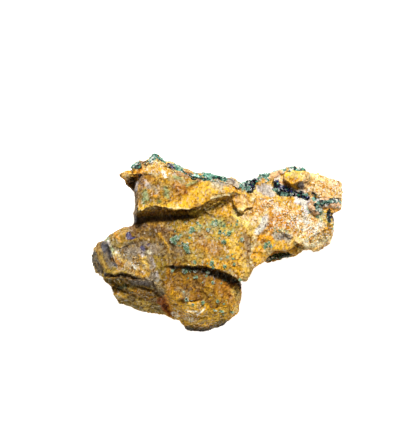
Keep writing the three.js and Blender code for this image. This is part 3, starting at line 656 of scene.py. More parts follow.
    ("white", [(-33.8, -8.8), (-32.6, -10.2)], 0.7, 1, 0.4, 0.6),
    ("orange", [(-35, -8)], 0.7, 0.7),
    ("ochre", [(-31, -11.2), (-26, -12.6)], 1.7, 0.8),
    ("olive", [(-24, -6.8), (-22.4, -8), (-22, -9)], 2.2, 0.95, 1, 0.2),
    ("tan", [(-23.6, -7), (-22.6, -8.4)], 1.2, 0.5, 1, 0.7),
    ("olive", [(-23.4, -9), (-22.4, -13)], 2.4, 0.8, 1, 0.4),
    ("grey_violet", [(-27, -6.4), (-25.8, -10), (-24.6, -13.6)], 1.3, 0.85, 0.9, 0.4),
    ("moon", [(-26.2, -5), (-25, -11)], 0.5, 0.6, 0.9, 0.9),
    ("navy", [(-35.5, 3.6), (-35.4, 2.2)], 0.9, 1, 0.3, 0.2),
    ("navy", [(-34.4, 1.8), (-33, 2.2)], 0.4, 1, 0.3, 0.2),
    ("navy", [(-30.2, -1.7), (-29.4, -2.6)], 0.8, 0.75, 0.4, 0.2),
    ("navy", [(-27.8, -0.9), (-27.4, -0.5)], 0.6, 0.8, 0.3, 0.2),
    # the left foot
    ("olive", [(-43, -17), (-36, -20), (-26, -24)], 7, 0.95, 1.5, 0.2),
    ("dark_olive", [(-44, -17), (-37, -21), (-30, -25)], 3, 0.5, 2, 1),
    ("tan", [(-41, -19), (-33, -23)], 2, 0.4, 1, 1.2),
    # the haze and moon over the grey band: partly its own grey, partly painted light on its shaded face
    ("haze", [(-33.4, -15.2), (-28, -16)], 1.7, 0.95, 0.8, 0.3),
    ("moon", [(-32.4, -15.6), (-27.6, -16.4)], 1, 0.6, 0.8, 0.7),
    ("grey_stone", [(-25.6, -13.4), (-24.6, -16), (-23, -18.8)], 2, 0.95, 0.8, 0.3),
    ("haze", [(-24.6, -13), (-23.8, -16), (-22.6, -18.8)], 1.7, 0.75, 0.8, 0.4),
    ("lavender", [(-24.2, -11.6), (-24, -13)], 0.7, 0.7, 0.5, 0.4),
    ("cream", [(-24.4, -15.8), (-23.4, -17.8)], 0.9, 0.9, 0.5, 0.6),
    ("white", [(-24, -15.2), (-23.4, -18)], 0.6, 0.9, 0.4, 0.5),
    ("dark_green", [(-39.6, -18), (-37, -17.2)], 0.9, 0.9, 0.5),
    ("brown", [(-31, -19.6), (-25, -21.6)], 2.8, 0.85),
    # painted shadow in the crease above the left foot and on the edge just below it
    ("dark_brown", [(-36.4, -13.6), (-32, -15), (-28, -17.6)], 0.9, 0.35, 0.8, 0.6),
    ("painted_shadow_umber", [(-41, -14), (-36, -14), (-31, -15)], 0.7, 0.7, 0.6, 0.5),
    ("painted_shadow_black", [(-45, -12.8), (-42, -13.4), (-38.6, -12.8), (-33.6, -14)], 0.75, 0.95, 0.5, 0.1),
    ("painted_shadow_umber", [(-34, -14), (-30.8, -14.6), (-27, -14.6)], 0.6, 0.8, 0.6, 0.4),
    ("sand", [(-31.4, -23.4), (-28, -25.6)], 1.8, 0.8, 1, 0.5),
    ("grey_quartz", [(-26, -25.6), (-23.4, -26)], 1.4, 0.9),
    ("bronze", [(-23, -17), (-22, -21), (-20.6, -24)], 2.2, 0.9, 0.8, 0.3),
    ("haze", [(-22.4, -18.6), (-21.8, -21)], 1, 0.6, 0.8, 0.6),
    ("burnt", [(-22.6, -23.2), (-20.6, -25.8), (-18.4, -28.2)], 1.8, 1, 0.8, 0.2),
    ("deep_orange", [(-20.6, -21.6), (-19, -26)], 1.3, 0.7, 0.8, 0.6),
    ("dark_rust", [(-21.8, -24.6), (-19.8, -27.4)], 0.8, 0.6, 0.8, 0.5),
    ("plum", [(-29.2, -25)], 0.4, 0.9),
    # the lower lobe, and the wall that rises behind it
    ("brown", [(-18, -12.6), (-6, -13), (4, -15)], 3.4, 0.5, 2, 0.7),
    ("brown", [(-15, -15), (-4, -19), (0, -25)], 5, 0.6, 1.4, 1.3),
    ("golden", [(-3, -19), (4, -25)], 4, 0.5, 1.4, 1.4),
    ("dark_brown", [(-8, -16), (-4, -20), (1, -20)], 2.6, 0.45, 1.2, 1.2),
    ("brown", [(-13, -11.4), (-6, -12.4), (1, -14.6), (7, -17.4)], 1.7, 0.7, 1, 0.5),
    # painted shadow: the dark band on the wall under the lower ledge
    ("painted_shadow_umber", [(-18, -9.6), (-10, -10.2), (-4, -11)], 0.8, 0.95, 0.5, 0.2),
    ("painted_shadow_umber", [(-9, -10.6), (-2, -11.8), (4, -14.2), (9.4, -17)], 1.6, 1, 0.7, 0.2),
    ("painted_shadow_black", [(-12, -10), (-5, -10.9), (1, -12.6), (6, -15), (9.4, -17)], 1, 1, 0.6, 0.1),
    ("dark_olive", [(4, -12.6), (9.6, -15.4)], 0.6, 0.6, 0.6, 0.4),
    ("haze", [(-15.4, -18.8), (-12.4, -20.6)], 1.6, 0.6, 1, 0.9),
    ("golden", [(-14.4, -25.4), (-8, -25.2), (-4.6, -25.6)], 1.8, 1, 0.8, 0.2),
    ("pale_yellow", [(-13, -25), (-6, -25)], 0.7, 0.6, 0.8, 0.8),
    ("burnt", [(1.4, -17.4), (6, -19), (6.6, -24)], 3, 0.5, 1.4, 0.8),
    ("brown", [(-1, -16.4), (3, -18.4), (4, -22)], 1.6, 0.45, 1.2, 0.9),
    ("golden", [(6.6, -18), (7.8, -22), (5, -25.4)], 1.3, 0.6, 1, 0.8),
    ("sand", [(7, -19), (8, -21.4)], 1.6, 0.95, 0.8, 0.2),
    ("pale_yellow", [(7.6, -19), (8.4, -21)], 0.8, 0.6, 0.8, 0.7),
    ("sand", [(7.6, -25), (7, -27.4)], 1.1, 0.7),
    ("golden", [(-17, -22), (-16, -27), (-9, -30)], 3.2, 0.6, 1.2, 0.7),
    ("mustard", [(-14, -29.6), (-6, -30.6), (3, -29.6)], 3.6, 0.95, 1.2, 0.3),
    ("sand", [(-12, -30.4), (-4, -31)], 1.4, 0.6, 1, 0.9),
    ("white", [(-17.8, -28), (-15.6, -29)], 0.9, 0.8, 0.6, 1.2),
    ("white", [(-13, -29.8), (-9, -31)], 1, 0.6, 0.6, 1.4),
    ("white", [(-12.6, -26.8), (-10.4, -27.4), (-8.4, -27.4)], 0.35, 0.9, 0.3, 0.5),
    ("white", [(-8, -28.6), (-5.2, -26.4)], 0.4, 0.95, 0.3, 0.3),
    # painted shade along the bottom edge, which faces away from the light, over its own dark olive
    ("dark_olive", [(-12, -35), (-4, -35.4), (3, -32)], 2, 0.8, 1, 0.3),
    ("painted_shadow_black", [(-13.4, -33.8), (-11, -35), (-5, -35.6), (0, -34.6), (4, -32)], 0.9, 0.95, 0.6, 0.2),
    # the point at the far left
    ("orange", [(-39, 27.8), (-31, 29)], 1.6, 0.9, 0.6, 0.3),
    ("golden", [(-37, 28.6), (-33, 29.2)], 0.7, 0.7, 0.6, 0.8),
    # painted shadow in the hollow under the thin slab
    ("painted_shadow_umber", [(-38.6, 25.8), (-35, 25), (-33.6, 22)], 1.9, 1, 0.5, 0.1),
    ("painted_shadow_umber", [(-35, 24.4), (-32.8, 24.6)], 1.6, 0.9, 0.5, 0.3),
    ("cream", [(-38, 27.5), (-32.6, 27.5)], 0.5, 0.85, 0.4, 0.4),
    ("plum", [(-32, 27.2), (-31, 27.2)], 0.8, 0.9, 0.5),
    ("lavender", [(-32.2, 24), (-32.4, 21.2)], 0.6, 0.9, 0.4, 0.2),
    ("slate", [(-32.8, 20), (-33.2, 9)], 1.1, 0.8),
]]


class Ground(NamedTuple):
    """How rough the stone is around a path, and how clean its quartz grains are."""

    path: list
    reach: float
    relief: float
    sugar: float


GROUND = [Ground(*row) for row in [
    ([(-29, 22), (-20, 22), (-12, 22)], 8, 0.75, 0.22),
    ([(-17, 15.6), (-9, 18.6), (-4, 21.6)], 4, 0.35, 0.3),
    ([(-27, 30), (-18, 29)], 3.6, 0.5, 0.5),
    ([(-30, 3), (-20, 0), (-16, -4)], 7, 0.7, 0.1),
    ([(-42, -5), (-32, -9)], 6, 0.7, 0.35),
    ([(-47.4, -3), (-44, -11.4)], 1.6, 0.8, 0.1),
    ([(-41, 3.8), (-36, 2.8)], 4, 0.4, 0.2),
    ([(-46, -1), (-44, -10)], 3, 0.35, 0),
    ([(-26, -6), (-22, -12)], 4, 0.45, 0.2),
    ([(18, 14), (28, 9), (40, 7), (44, 3)], 10, 1, 1),
    ([(41, 24), (46, 20)], 6, 0.8, 0.8),
    ([(27.4, 28), (35.6, 27)], 4, 0.3, 0.4),
    ([(8, 16), (14, 17)], 5, 0.5, 0.5),
    ([(-33, 9.4), (-20, 10.8), (-9.6, 12)], 3, 0.5, 0),
    ([(33, 18), (36, 14)], 3.4, 0.5, 0.3),
    ([(16, 4.6), (20, 11)], 2.4, 0.4, 0.2),
    ([(17, 22.4), (22, 20)], 3.4, 0.3, 0.3),
    ([(-22.6, -20), (-19, -28)], 3, 0.6, 0),
    ([(-12, -18), (0, -22)], 10, 0.6, 0.08),
    ([(-13, -25.6), (-6, -25.6)], 2, 0.4, 0.3),
    ([(-16, -28.6), (-6, -30)], 3, 0.8, 0.8),
]]


def ground(spots):
    """Relief and share of clean quartz at each spot."""
    relief = np.full(len(spots), 0.7)
    sugar = np.full(len(spots), 0.3)
    for zone in GROUND:
        distance, _, _ = off_path(zone.path, spots)
        share = smoothstep(zone.reach, 0.6 * zone.reach, distance)
        relief += (zone.relief - relief) * share
        sugar += (zone.sugar - sugar) * share
    return relief, sugar


def mixed(colours, colour, share):
    """The colours, each moved by its share towards a colour of the palette."""
    return colours + (COLOURS[colour] - colours) * np.asarray(share)[:, None]


def country_rock(spots):
    """The stone's colours wherever nothing else is said: ochre, with brown, grey and pale zones."""
    broad = swell(spots, 16, 3, 2)
    middling = swell(spots, 7, 5, 3)
    small = swell(spots, 3.2, 9, 3)
    colours = np.tile(COLOURS["ochre"], (len(spots), 1))
    colours = mixed(colours, "brown", smoothstep(-0.1, 0.6, broad))
    colours = mixed(colours, "grey_quartz", 0.8 * smoothstep(0.1, 0.5, middling))
    colours = mixed(colours, "golden", 0.7 * smoothstep(0.15, 0.5, -middling))
    colours = mixed(colours, "sand", 0.6 * smoothstep(0.25, 0.6, small))
    return mixed(colours, "rust", 0.5 * smoothstep(0.3, 0.6, -small))


def open_sky(skin):
    """1 where the stone sees straight up, 0 under a ledge and on the back."""
    tree = skin.tree()
    facing = skin.outward()
    lift = skin.spots + 0.3 * facing
    open_above = np.array([
        float(out[2] > -0.15 and tree.ray_cast(Vector(at), UP)[0] is None)
        for at, out in zip(lift, facing)
    ])
    return skin.relaxed(open_above, 3)


def spread(stain, spots, wander, speckle):
    """How strong a stain is at each spot."""
    distance, _, _ = off_path(stain.path, spots)
    depth = (stain.radius * (1 + 0.35 * wander) - distance) / stain.feather
    share = smoothstep(-0.5, 0.5, depth - 1.6 * stain.broken * (0.25 + speckle))
    return stain.amount * share * smoothstep(-0.8, 0.4, depth)


SMALL_FEATURE = 2.6  # stains narrower than this keep their colour
IRON = 0.45  # how much the iron takes the blue out of warm colours


def painted(colours, stains, spots, lit):
    """The colours under the stains, and where no small stain lies."""
    wander = swell(spots, 2.6, 21, 3)
    speckle = swell(spots, 1.3, 27, 2)
    plain = lit.copy()
    for stain in stains:
        share = lit * spread(stain, spots, wander, speckle)
        colours = mixed(colours, stain.colour, share)
        if stain.radius < SMALL_FEATURE:
            plain = np.minimum(plain, 1 - 0.8 * share)
    return colours, plain


def warmth(colours):
    """0 for a grey, 1 for a colour without any blue."""
    return 1 - colours[:, 2] / np.maximum(colours[:, 0], 0.01)


def stained(skin):
    """The matrix rock's colours: its stains, then flecks of iron and of clean quartz."""
    spots = skin.spots
    colours, plain = painted(country_rock(spots), STAINS, spots, open_sky(skin))
    rusty = swell(spots, 1.8, 29, 3)
    clean = ground(spots)[1]
    colours = mixed(colours, "golden", plain * 0.25 * smoothstep(0.05, 0.45, rusty))
    colours = mixed(colours, "orange", plain * clean * 0.6 * smoothstep(0.12, 0.4, rusty))
    colours = mixed(colours, "white", plain * clean * 0.45 * smoothstep(0.12, 0.4, -rusty))
    colours[:, 2] *= 1 - IRON * np.clip(warmth(colours), 0, 1)
    return colours


# ---- the matrix rock ----
GROWTHS = [
    "azurite_crystals_in_hollow", "azurite_crystals_on_rim", "azurite_crystals_in_notch",
    "malachite_vein", "malachite_under_shelf",
]
GROWTH_REACH = 14  # no growth stretches further than this from its middle


def beside_growths(spots):
    """How far each spot is from the nearest growth in the rock."""
    nearest = np.full(len(spots), np.inf)
    for name in GROWTHS:
        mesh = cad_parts[name].data
        corners = [vert.co / MM for vert in mesh.vertices]
        tree = BVHTree.FromPolygons(corners, [face.vertices for face in mesh.polygons])
        close = np.linalg.norm(spots - np.mean(corners, axis=0), axis=1) < GROWTH_REACH
        for index in np.flatnonzero(close):
            nearest[index] = min(nearest[index], tree.find_nearest(Vector(spots[index]))[3])
    return nearest


def matrix_rock():
    """The rock: drawn to its outline, carved, roughened and stained."""
    piece, skin = skin_piece("matrix_rock", "quartz_matrix", ROCK_FACET, 1)
    skin.spots = drawn(skin.spots, DRAWN + ROCK_DRAWN)
    skin.settle()
    spots = skin.spots.copy()
    wander = swell(spots, 2.4, 2, 2)
    skin.push(np.where(skin.outward()[:, 2] > 0.05, carved(spots, wander), 0))
    skin.push(0.6 * smoothstep(1.2, 0.3, beside_growths(spots)))  # it closes round its growths
    roughness, sugar = ground(spots)
    relief = 0.32 * swell(spots, 5.2, 11, 3)
    relief += 0.4 * chips(spots, 3.8, 13)
    relief += 0.3 * chips(spots, 1.9, 17)
    relief += 0.22 * chips(spots, 1.1, 19)
    skin.push(roughness * relief - SWOLLEN)
    skin.push(0.1 * swell(spots, 0.9, 23, 2))
    colours = stained(skin)
    skin.write_colour("stain", colours)
    skin.write("cool", smoothstep(0.6, 0.25, warmth(colours)))
    skin.write("sugar", sugar)
    skin.write_folds()
    coat(piece, "stained_quartz")
    tie(piece, "matrix_rock")
    return skin.tree()


# ---- needles and crystals ----
def planted(work, template, at, out, size, spin):
    """Adds a copy of the template that stands at a place, along a direction."""
    turn = out.to_track_quat("Z", "Y").to_matrix().to_4x4() @ Matrix.Rotation(spin, 4, "Z")
    copy = template.copy()
    copy.transform(Matrix.Translation(at * MM) @ turn @ Matrix.Scale(size * MM, 4))
    work.from_mesh(copy)
    bpy.data.meshes.remove(copy)


def mesh_with_tip(work, name):
    """Ends the bmesh as a mesh that knows how near its far end each corner is."""
    tip = work.verts.layers.float.new("tip")
    for vert in work.verts:
        vert[tip] = vert.co.z
    return mesh_from(work, name)


def needle_mesh():
    """One needle, 1 long, that starts at the origin and tapers upwards."""
    work = bmesh.new()
    bmesh.ops.create_cone(
        work, cap_ends=True, segments=4, radius1=0.11, radius2=0.05, depth=1,
        matrix=Matrix.Translation((0, 0, 0.5)),
    )
    return mesh_with_tip(work, "needle")


def tuft_mesh(chance, needles):
    """A rosette of needles that spread over a half ball of radius 1."""
    single = needle_mesh()
    work = bmesh.new()
    for index in range(needles):
        rise = 0.12 + 0.88 * (index + 0.5) / needles
        turn = math.tau * 0.618 * index + chance.uniform(-0.3, 0.3)
        flat = math.sqrt(1 - rise * rise)
        out = Vector((flat * math.cos(turn), flat * math.sin(turn), rise))
        length = chance.uniform(0.75, 1.1) * (1.15 - 0.3 * rise)
        planted(work, single, Vector((0, 0, 0)), out, length / MM, chance.uniform(0, math.tau))
    return mesh_from(work, "tuft")


def tuft_meshes(chance, count, needles):
    return [tuft_mesh(chance, needles) for _ in range(count)]


def crystal_mesh(width, thickness):
    """A flattened six-sided crystal, 1 long, with a bevelled end."""
    work = bmesh.new()
    bmesh.ops.create_cone(
        work, cap_ends=True, segments=6, radius1=0.5 * width, radius2=0.46 * width, depth=0.8,
        matrix=Matrix.Translation((0, 0, 0.4)),
    )
    top = max(work.faces, key=lambda face: face.calc_center_median().z)
    bmesh.ops.inset_individual(work, faces=[top], thickness=0.22 * width, depth=0.2)
    bmesh.ops.scale(work, verts=work.verts, vec=(1, thickness / width, 1))
    bmesh.ops.rotate(work, verts=work.verts, matrix=Matrix.Rotation(0.25, 3, "Y"))
    return mesh_with_tip(work, "crystal")


# the widths and thicknesses that the crystals have for each 1 of length
AZURITE_HABITS = [(0.55, 0.3), (0.7, 0.35), (0.42, 0.36)]
QUARTZ_HABITS = [(0.6, 0.5), (0.8, 0.6)]


def crystal_meshes(habits):
    return [crystal_mesh(width, thickness) for width, thickness in habits]


# ---- where they grow ----
ABOVE_ALL = 60  # a height over the whole stone


def seen_from_above(tree, x, y):
    """The spot of a surface that shows over a place in plan, and the way it faces."""
    return tree.ray_cast(Vector((x, y, ABOVE_ALL)), -UP)[:2]


def facing_up(at, out):
    return out.z > -0.1


def spots_on(skin, count, chance, wanted):
    """Random places on a surface with the way it faces there, where the test wants them."""
    faces = skin.mesh.polygons
    picked = []
    while len(picked) < count:
        face = faces[chance.randrange(len(faces))]
        at, out = face.center / MM, face.normal.copy()
        if wanted(at, out):
            picked.append((at, out))
    return picked


def beside_path(path, width, chance):
    """A random place in plan near a path."""
    start = chance.randrange(len(path) - 1)
    at = Vector(path[start]).lerp(Vector(path[start + 1]), chance.random())
    return at + width * Vector((chance.uniform(-1, 1), chance.uniform(-1, 1)))


def leaning(out, lean, chance):
    """A direction that strays from another one at random."""
    return (out + lean * Vector([chance.uniform(-1, 1) for _ in range(3)])).normalized()


def grow_needle(work, single, at, out, chance):
    lean = leaning(out, 0.7, chance)
    planted(work, single, at - 0.1 * lean, lean, chance.uniform(0.4, 0.9), 0)


def grow_rosette(work, rosettes, at, out, sizes, chance):
    size = chance.uniform(*sizes)
    planted(work, chance.choice(rosettes), at - 0.15 * out, out, size, chance.uniform(0, math.tau))


def finished(work, name, finish):
    """Shows what was planted as a piece of the stone."""
    piece = show(mesh_from(work, name), name)
    coat(piece, finish)
    tie(piece)


# ---- the scattered tufts ----
# single tufts: where they stand in plan, and how large they are
TUFTS = [
    (-17.8, 1.2, 1.1), (-16.2, 2, 1.2), (-16.9, 0.3, 0.8), (-12.6, -0.8, 1), (-11.8, -2.8, 1.1),
    (-12.8, -2, 0.7), (-9.8, 5.6, 1.1), (-10.6, 4.4, 0.8), (-3.4, 5.2, 0.9), (-0.4, 8.8, 0.8),
    (1, 4.4, 0.9), (4.8, 3.8, 1.1), (2.6, 0.4, 1), (9.8, 1.4, 0.8), (-9, -7.6, 0.7), (-2, -7.8, 0.9),
    (3, -9.4, 0.8), (6.6, -8.4, 0.6), (-17.8, -11, 0.8), (-13, -11, 1.1), (-12.2, -10.4, 0.7),
    (-3.8, -11.6, 0.7), (-8.4, -13.4, 0.7), (-1.8, -15.8, 0.7), (-12.2, -22.4, 0.9), (-5.8, -23.6, 0.7),
    (0.2, -23.2, 0.7), (-1, -26.8, 0.7), (1.8, -27.2, 0.8), (5.8, -27.6, 0.7), (9, -14.6, 0.6),
    (19.6, -0.7, 1), (20.6, 0.2, 0.6), (19, -1.8, 0.7), (21.2, -1.2, 0.7),
]
# where smaller tufts are strewn: a path, how wide, and how many
STREWN = [
    ([(-14, 4), (-4, 7)], 4, 9),
    ([(-4, 6), (8, 5), (4, -2)], 4, 22),
    ([(-16, 1), (-11, -3)], 2.5, 8),
    ([(-6, -7), (8, -9)], 2.5, 9),
    ([(-18, -11), (-6, -14), (4, -16)], 2.5, 9),
    ([(-10, -22), (6, -26)], 4, 8),
    ([(36, 14), (42, 10)], 2, 12),
    ([(23, 5), (29, 4)], 1.2, 8),
]
TUFT_NEEDLES = 60


def strewn_spots(chance):
    """The single tufts and the strewn ones: their places in plan and their sizes."""
    spots = list(TUFTS)
    for path, width, count in STREWN:
        for _ in range(count):
            at = beside_path(path, width, chance)
            spots.append((at.x, at.y, chance.uniform(0.25, 0.6)))
    return spots


def malachite_tufts(rock_tree):
    """Rosettes that stand on the rock, except where it is too steep."""
    chance = random.Random(5)
    templates = tuft_meshes(chance, 4, TUFT_NEEDLES)
    work = bmesh.new()
    for x, y, size in strewn_spots(chance):
        at, out = seen_from_above(rock_tree, x, y)
        if at is None or out.z < 0.2:
            continue
        template = chance.choice(templates)
        planted(work, template, at - 0.1 * out, out, 1.25 * size, chance.uniform(0, math.tau))
    finished(work, "malachite_tufts", "malachite_needles")


# ---- azurite ----
# beds of crystals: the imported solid, the name, how many crystals, and the seed
AZURITE_BEDS = [
    ("azurite_crystals_in_hollow", "azurite_hollow_bed", 90, 43),
    ("azurite_crystals_on_rim", "azurite_rim_bed", 30, 47),
    ("azurite_crystals_in_notch", "azurite_notch_bed", 20, 53),
]
BED_SINK = 0.45  # how far the bed lies below its solid, so that the crystals stand up from it


def azurite_bed(node, name, crystals, seed, rock_tree):
    """A broken bed of azurite with single crystals on it, wherever the rock leaves room."""
    piece, skin = skin_piece(node, name, BED_FACET, 2)
    facets = 0.3 * chips(skin.spots, 1.1, seed) + 0.15 * chips(skin.spots, 0.6, seed + 1)
    skin.push(facets - BED_SINK)
    skin.write("tip", 0.2 * beads(skin.spots, 0.8, seed + 2))
    tree = skin.tree()
    chance = random.Random(seed)
    templates = crystal_meshes(AZURITE_HABITS)

    def in_the_open(at, out):
        return out.z > -0.2 and rock_tree.ray_cast(at + 0.2 * out, out)[0] is None

    work = work_on(piece)
    for at, out in spots_on(skin, crystals, chance, in_the_open):
        size = chance.uniform(0.7, 1.5)
        lean = leaning(out, 0.8, chance)
        planted(work, chance.choice(templates), at - 0.5 * lean, lean, size, chance.uniform(0, math.tau))
    pour(work, piece.data)
    coat(piece, "azurite_growth")
    tie(piece, node)
    return tree


# ---- malachite ----
RIM_DEPTH = 2.6  # how far down the back the rim's pattern goes
EAST_END = 33.4  # beyond it the back is bare, and a little further along the rim
CRUST_TRIES = 9000  # the places where a needle or a rosette may grow on the crust
ROSETTE_NEEDLES = 30
# where the rock, and not the malachite, comes up to the edge: from and to, along the stone
BARE_EDGE = [(-30.6, -27.8), (-22.6, -17.2), (3.8, 8.6), (15, 16.6), (21, 28)]
RIM_STAINS = [Stain(*row) for row in [
    ("tan", [(-31, 33), (-27, 34)], 2, 0.8),
    ("pale_yellow", [(-28, 32), (-22, 32), (-16, 29)], 2.4, 0.9),
    ("purple_brown", [(-33, 30.8), (-29, 32.6), (-25, 33.4)], 1.2, 0.8),
    ("plum", [(-19.6, 31.4), (-17.4, 30)], 0.9, 0.9, 0.5, 0.8),
    ("blue", [(-18.8, 31.2), (-17.8, 30.4)], 0.5, 0.9, 0.4, 0.8),
    ("white", [(-19.4, 30.6)], 0.6, 0.9, 0.4, 0.8),
    ("rose", [(-15, 28), (-8, 26.4)], 1.6, 0.7),
    ("shell", [(4, 25), (10, 22.6)], 1.6, 0.9),
    ("haze", [(3.6, 25.4), (9.6, 22.4)], 1.6, 0.8, 0.8, 0.8),
    ("plum", [(5, 25.4), (8, 23.6)], 0.5, 0.9, 0.6, 0.9),
    ("plum", [(4, 26)], 0.8, 0.8),
    ("cream", [(15.6, 26.4)], 1.4, 0.9),
    ("pink", [(20, 27.4), (26, 28.6)], 2.4, 0.8),
    ("yellow", [(28.4, 29), (35, 28.6)], 1.4, 0.95),
]]
# how far from the rock the malachite begins to show, along the stone
SHOWS_FROM = [
    (-36, 0.4), (-31, 0.6), (-28, 0.8), (-9, 0.8), (-7, 0.4), (-1, 0.4), (1, 0.8), (9, 0.8),
    (13, 0.6), (20, 0.8), (27, 0.6), (29, 0.3), (36, 0.3),
]
# how pale its grains are, along the stone
PALENESS = [(-24, 0.15), (-20, 0.35), (-12, 0.65), (2, 0.65), (6, 0.5)]


def down_the_back(skin, edge):
    """0 along the rim, 1 further down on the back of the crust."""
    depth = edge - skin.spots[:, 2] + swell(skin.spots, 3, 65, 2)
    return smoothstep(RIM_DEPTH, RIM_DEPTH + 1.2, depth)


def bared(skin, away, low):
    """1 where rock shows, 0 where the malachite covers it."""
    along = skin.spots[:, 0] + 0.8 * swell(skin.spots, 1.6, 61, 2)
    bare = np.zeros(len(along))
    for start, end in BARE_EDGE:
        span = smoothstep(start - 0.3, start + 0.3, along) * smoothstep(end + 0.3, end - 0.3, along)
        bare = np.maximum(bare, span)
    patches = smoothstep(0.2, 0.3, swell(skin.spots, 7, 67, 3))
    bare += (patches - bare) * low
    east = skin.spots[:, 0] - EAST_END - 1.5 * (1 - low) + 2.0 * swell(skin.spots, 3, 69, 3)
    bare = np.maximum(bare, smoothstep(-0.2, 0.2, east))
    starts = np.interp(skin.spots[:, 0], *zip(*SHOWS_FROM))
    inner = smoothstep(0.2, -0.2, away + 0.5 * swell(skin.spots, 1.1, 63, 2) - starts)
    return np.maximum(bare, inner)


def rim_heights(skin, rock_tree):
    """How high the rock's edge stands beside each spot, and how far away it is."""
    heights, away = [], []
    for spot in skin.spots:
        at = Vector(spot)
        near, _, _, distance = rock_tree.find_nearest(at)
        inward = Vector((near.x - at.x, near.y - at.y, 0))
        inward = inward.normalized() if inward.length > 0.05 else Vector((0, -1, 0))
        over = near + 0.7 * inward
        top, _ = seen_from_above(rock_tree, over.x, over.y)
        heights.append(near.z if top is None else top.z)
        away.append(distance)
    return skin.relaxed(np.array(heights), 5), np.array(away)


def colour_bare_rock(skin, low):
    """The crust's rock: paler towards the east end, with stains of its own along the rim."""
    paler = smoothstep(EAST_END - 3, EAST_END + 2, skin.spots[:, 0])
    colours = mixed(country_rock(skin.spots), "cream", 0.6 * paler)
    colours, _ = painted(colours, RIM_STAINS, skin.spots, 1 - low)
    skin.write_colour("stain", colours)
    skin.write("sugar", 0.5 + 0.3 * paler)
    skin.write_folds()


def show_rock(piece, finish, bare):
    """Gives the piece its finish, and the rock's where a spot is bare."""
    coat(piece, finish, "stained_quartz")
    for face in piece.data.polygons:
        face.material_index = int(bare[face.vertices[0]])


def grow_over(piece, skin, clad):
    """Needles and rosettes wherever the malachite covers the crust."""
    facing = skin.outward()
    work = work_on(piece)
    chance = random.Random(31)
    rosettes = tuft_meshes(chance, 3, ROSETTE_NEEDLES)
    single = needle_mesh()
    for index in chance.sample(range(len(skin.spots)), CRUST_TRIES):
        at, out = Vector(skin.spots[index]), Vector(facing[index])
        if clad[index] < 0.5 or out.y < -0.3 or out.z < -0.4:
            continue
        if chance.random() < 0.06:
            grow_rosette(work, rosettes, at, out, (0.4, 0.8), chance)
        elif chance.random() < 0.4:
            grow_needle(work, single, at, out, chance)
    pour(work, piece.data)


def malachite_crust(rock_tree):
    """The crust on the back wall: buttons and grains of malachite, and rock where it is bare."""
    piece, skin = skin_piece("malachite_crust", "malachite_rim_crust", CRUST_FACET, 2)
    skin.spots = drawn(skin.spots, DRAWN)
    skin.settle()
    edge, away = rim_heights(skin, rock_tree)
    below_edge = edge - 0.15 - 0.25 * away
    skin.spots[:, 2] = np.minimum(skin.spots[:, 2], below_edge)
    skin.settle()
    low = down_the_back(skin, edge)
    bare = bared(skin, away, low)
    buttons = beads(skin.spots, 2.1, 31)
    grains = beads(skin.spots, 0.9, 32)
    relief = 0.35 * chips(skin.spots, 1.6, 34) + 0.25 * chips(skin.spots, 0.9, 35)
    growth = 0.5 * buttons + 0.28 * grains + 0.1 * swell(skin.spots, 0.6, 33, 2) - 0.4
    skin.push(growth * (1 - bare) + relief * bare + 0.4 * smoothstep(1.0, 0.3, away) - SWOLLEN)
    # the tip value makes the crowns of buttons and grains pale and leaves their seams dark: painted
    # highlight and painted shade, over a paleness that changes along the stone
    pale = np.interp(skin.spots[:, 0], *zip(*PALENESS))
    skin.write("tip", np.clip(0.1 + pale * buttons * grains + pale * grains, 0, 1))
    colour_bare_rock(skin, low)
    show_rock(piece, "malachite_growth", bare > 0.5)
    tree = skin.tree()
    grow_over(piece, skin, skin.relaxed(1 - bare, 1))
    tie(piece, "malachite_crust")
    return tree


# the lines that the dark malachite keeps to: a path and how wide
VEIN_LINES = [
    ([(37.6, 18.9), (39.8, 16.6), (41.7, 15.9), (44.2, 16.5), (46.6, 16.8), (49.7, 16.5)], 0.7),
    ([(39.2, 14.8), (42.2, 12)], 1),
]
SHELF_LINES = [([(19, -5.6), (29, -5)], 9)]


def malachite_band(node, name, finish, sink, lines, rosettes_wanted, needles_wanted, seed):
    """A narrow seam of malachite: dark ground with needles and small rosettes on it.

    Away from its lines the rock shows through."""
    piece, skin = skin_piece(node, name, BED_FACET, 2)
    buttons = beads(skin.spots, 1.3, seed)
    off_line = np.min([off_path(path, skin.spots)[0] - width for path, width in lines], axis=0)
    growth = 0.35 * buttons + 0.3 * swell(skin.spots, 1.6, seed + 2, 2) - sink
    skin.push(growth + 0.2 * smoothstep(-0.1, 0.6, off_line))
    # the tip value leaves the seams between buttons dark and their crowns paler: painted shade and
    # painted highlight
    skin.write("tip", 0.35 * buttons)
    skin.write_colour("stain", np.tile(COLOURS["pink"], (len(buttons), 1)))
    skin.write("sugar", np.ones(len(buttons)))
    off_line += 0.4 * swell(skin.spots, 1.1, seed + 3, 2)
    show_rock(piece, finish, off_line > 0)
    tree = skin.tree()
    chance = random.Random(seed)
    work = work_on(piece)
    rosettes = tuft_meshes(chance, 3, ROSETTE_NEEDLES)
    for at, out in spots_on(skin, rosettes_wanted, chance, facing_up):
        grow_rosette(work, rosettes, at, out, (0.35, 0.75), chance)
    single = needle_mesh()
    for at, out in spots_on(skin, needles_wanted, chance, facing_up):
        grow_needle(work, single, at, out, chance)
    pour(work, piece.data)
    tie(piece, node)
    return tree


# ---- sprays over the whole stone ----
SPRAY_NEEDLES = 34
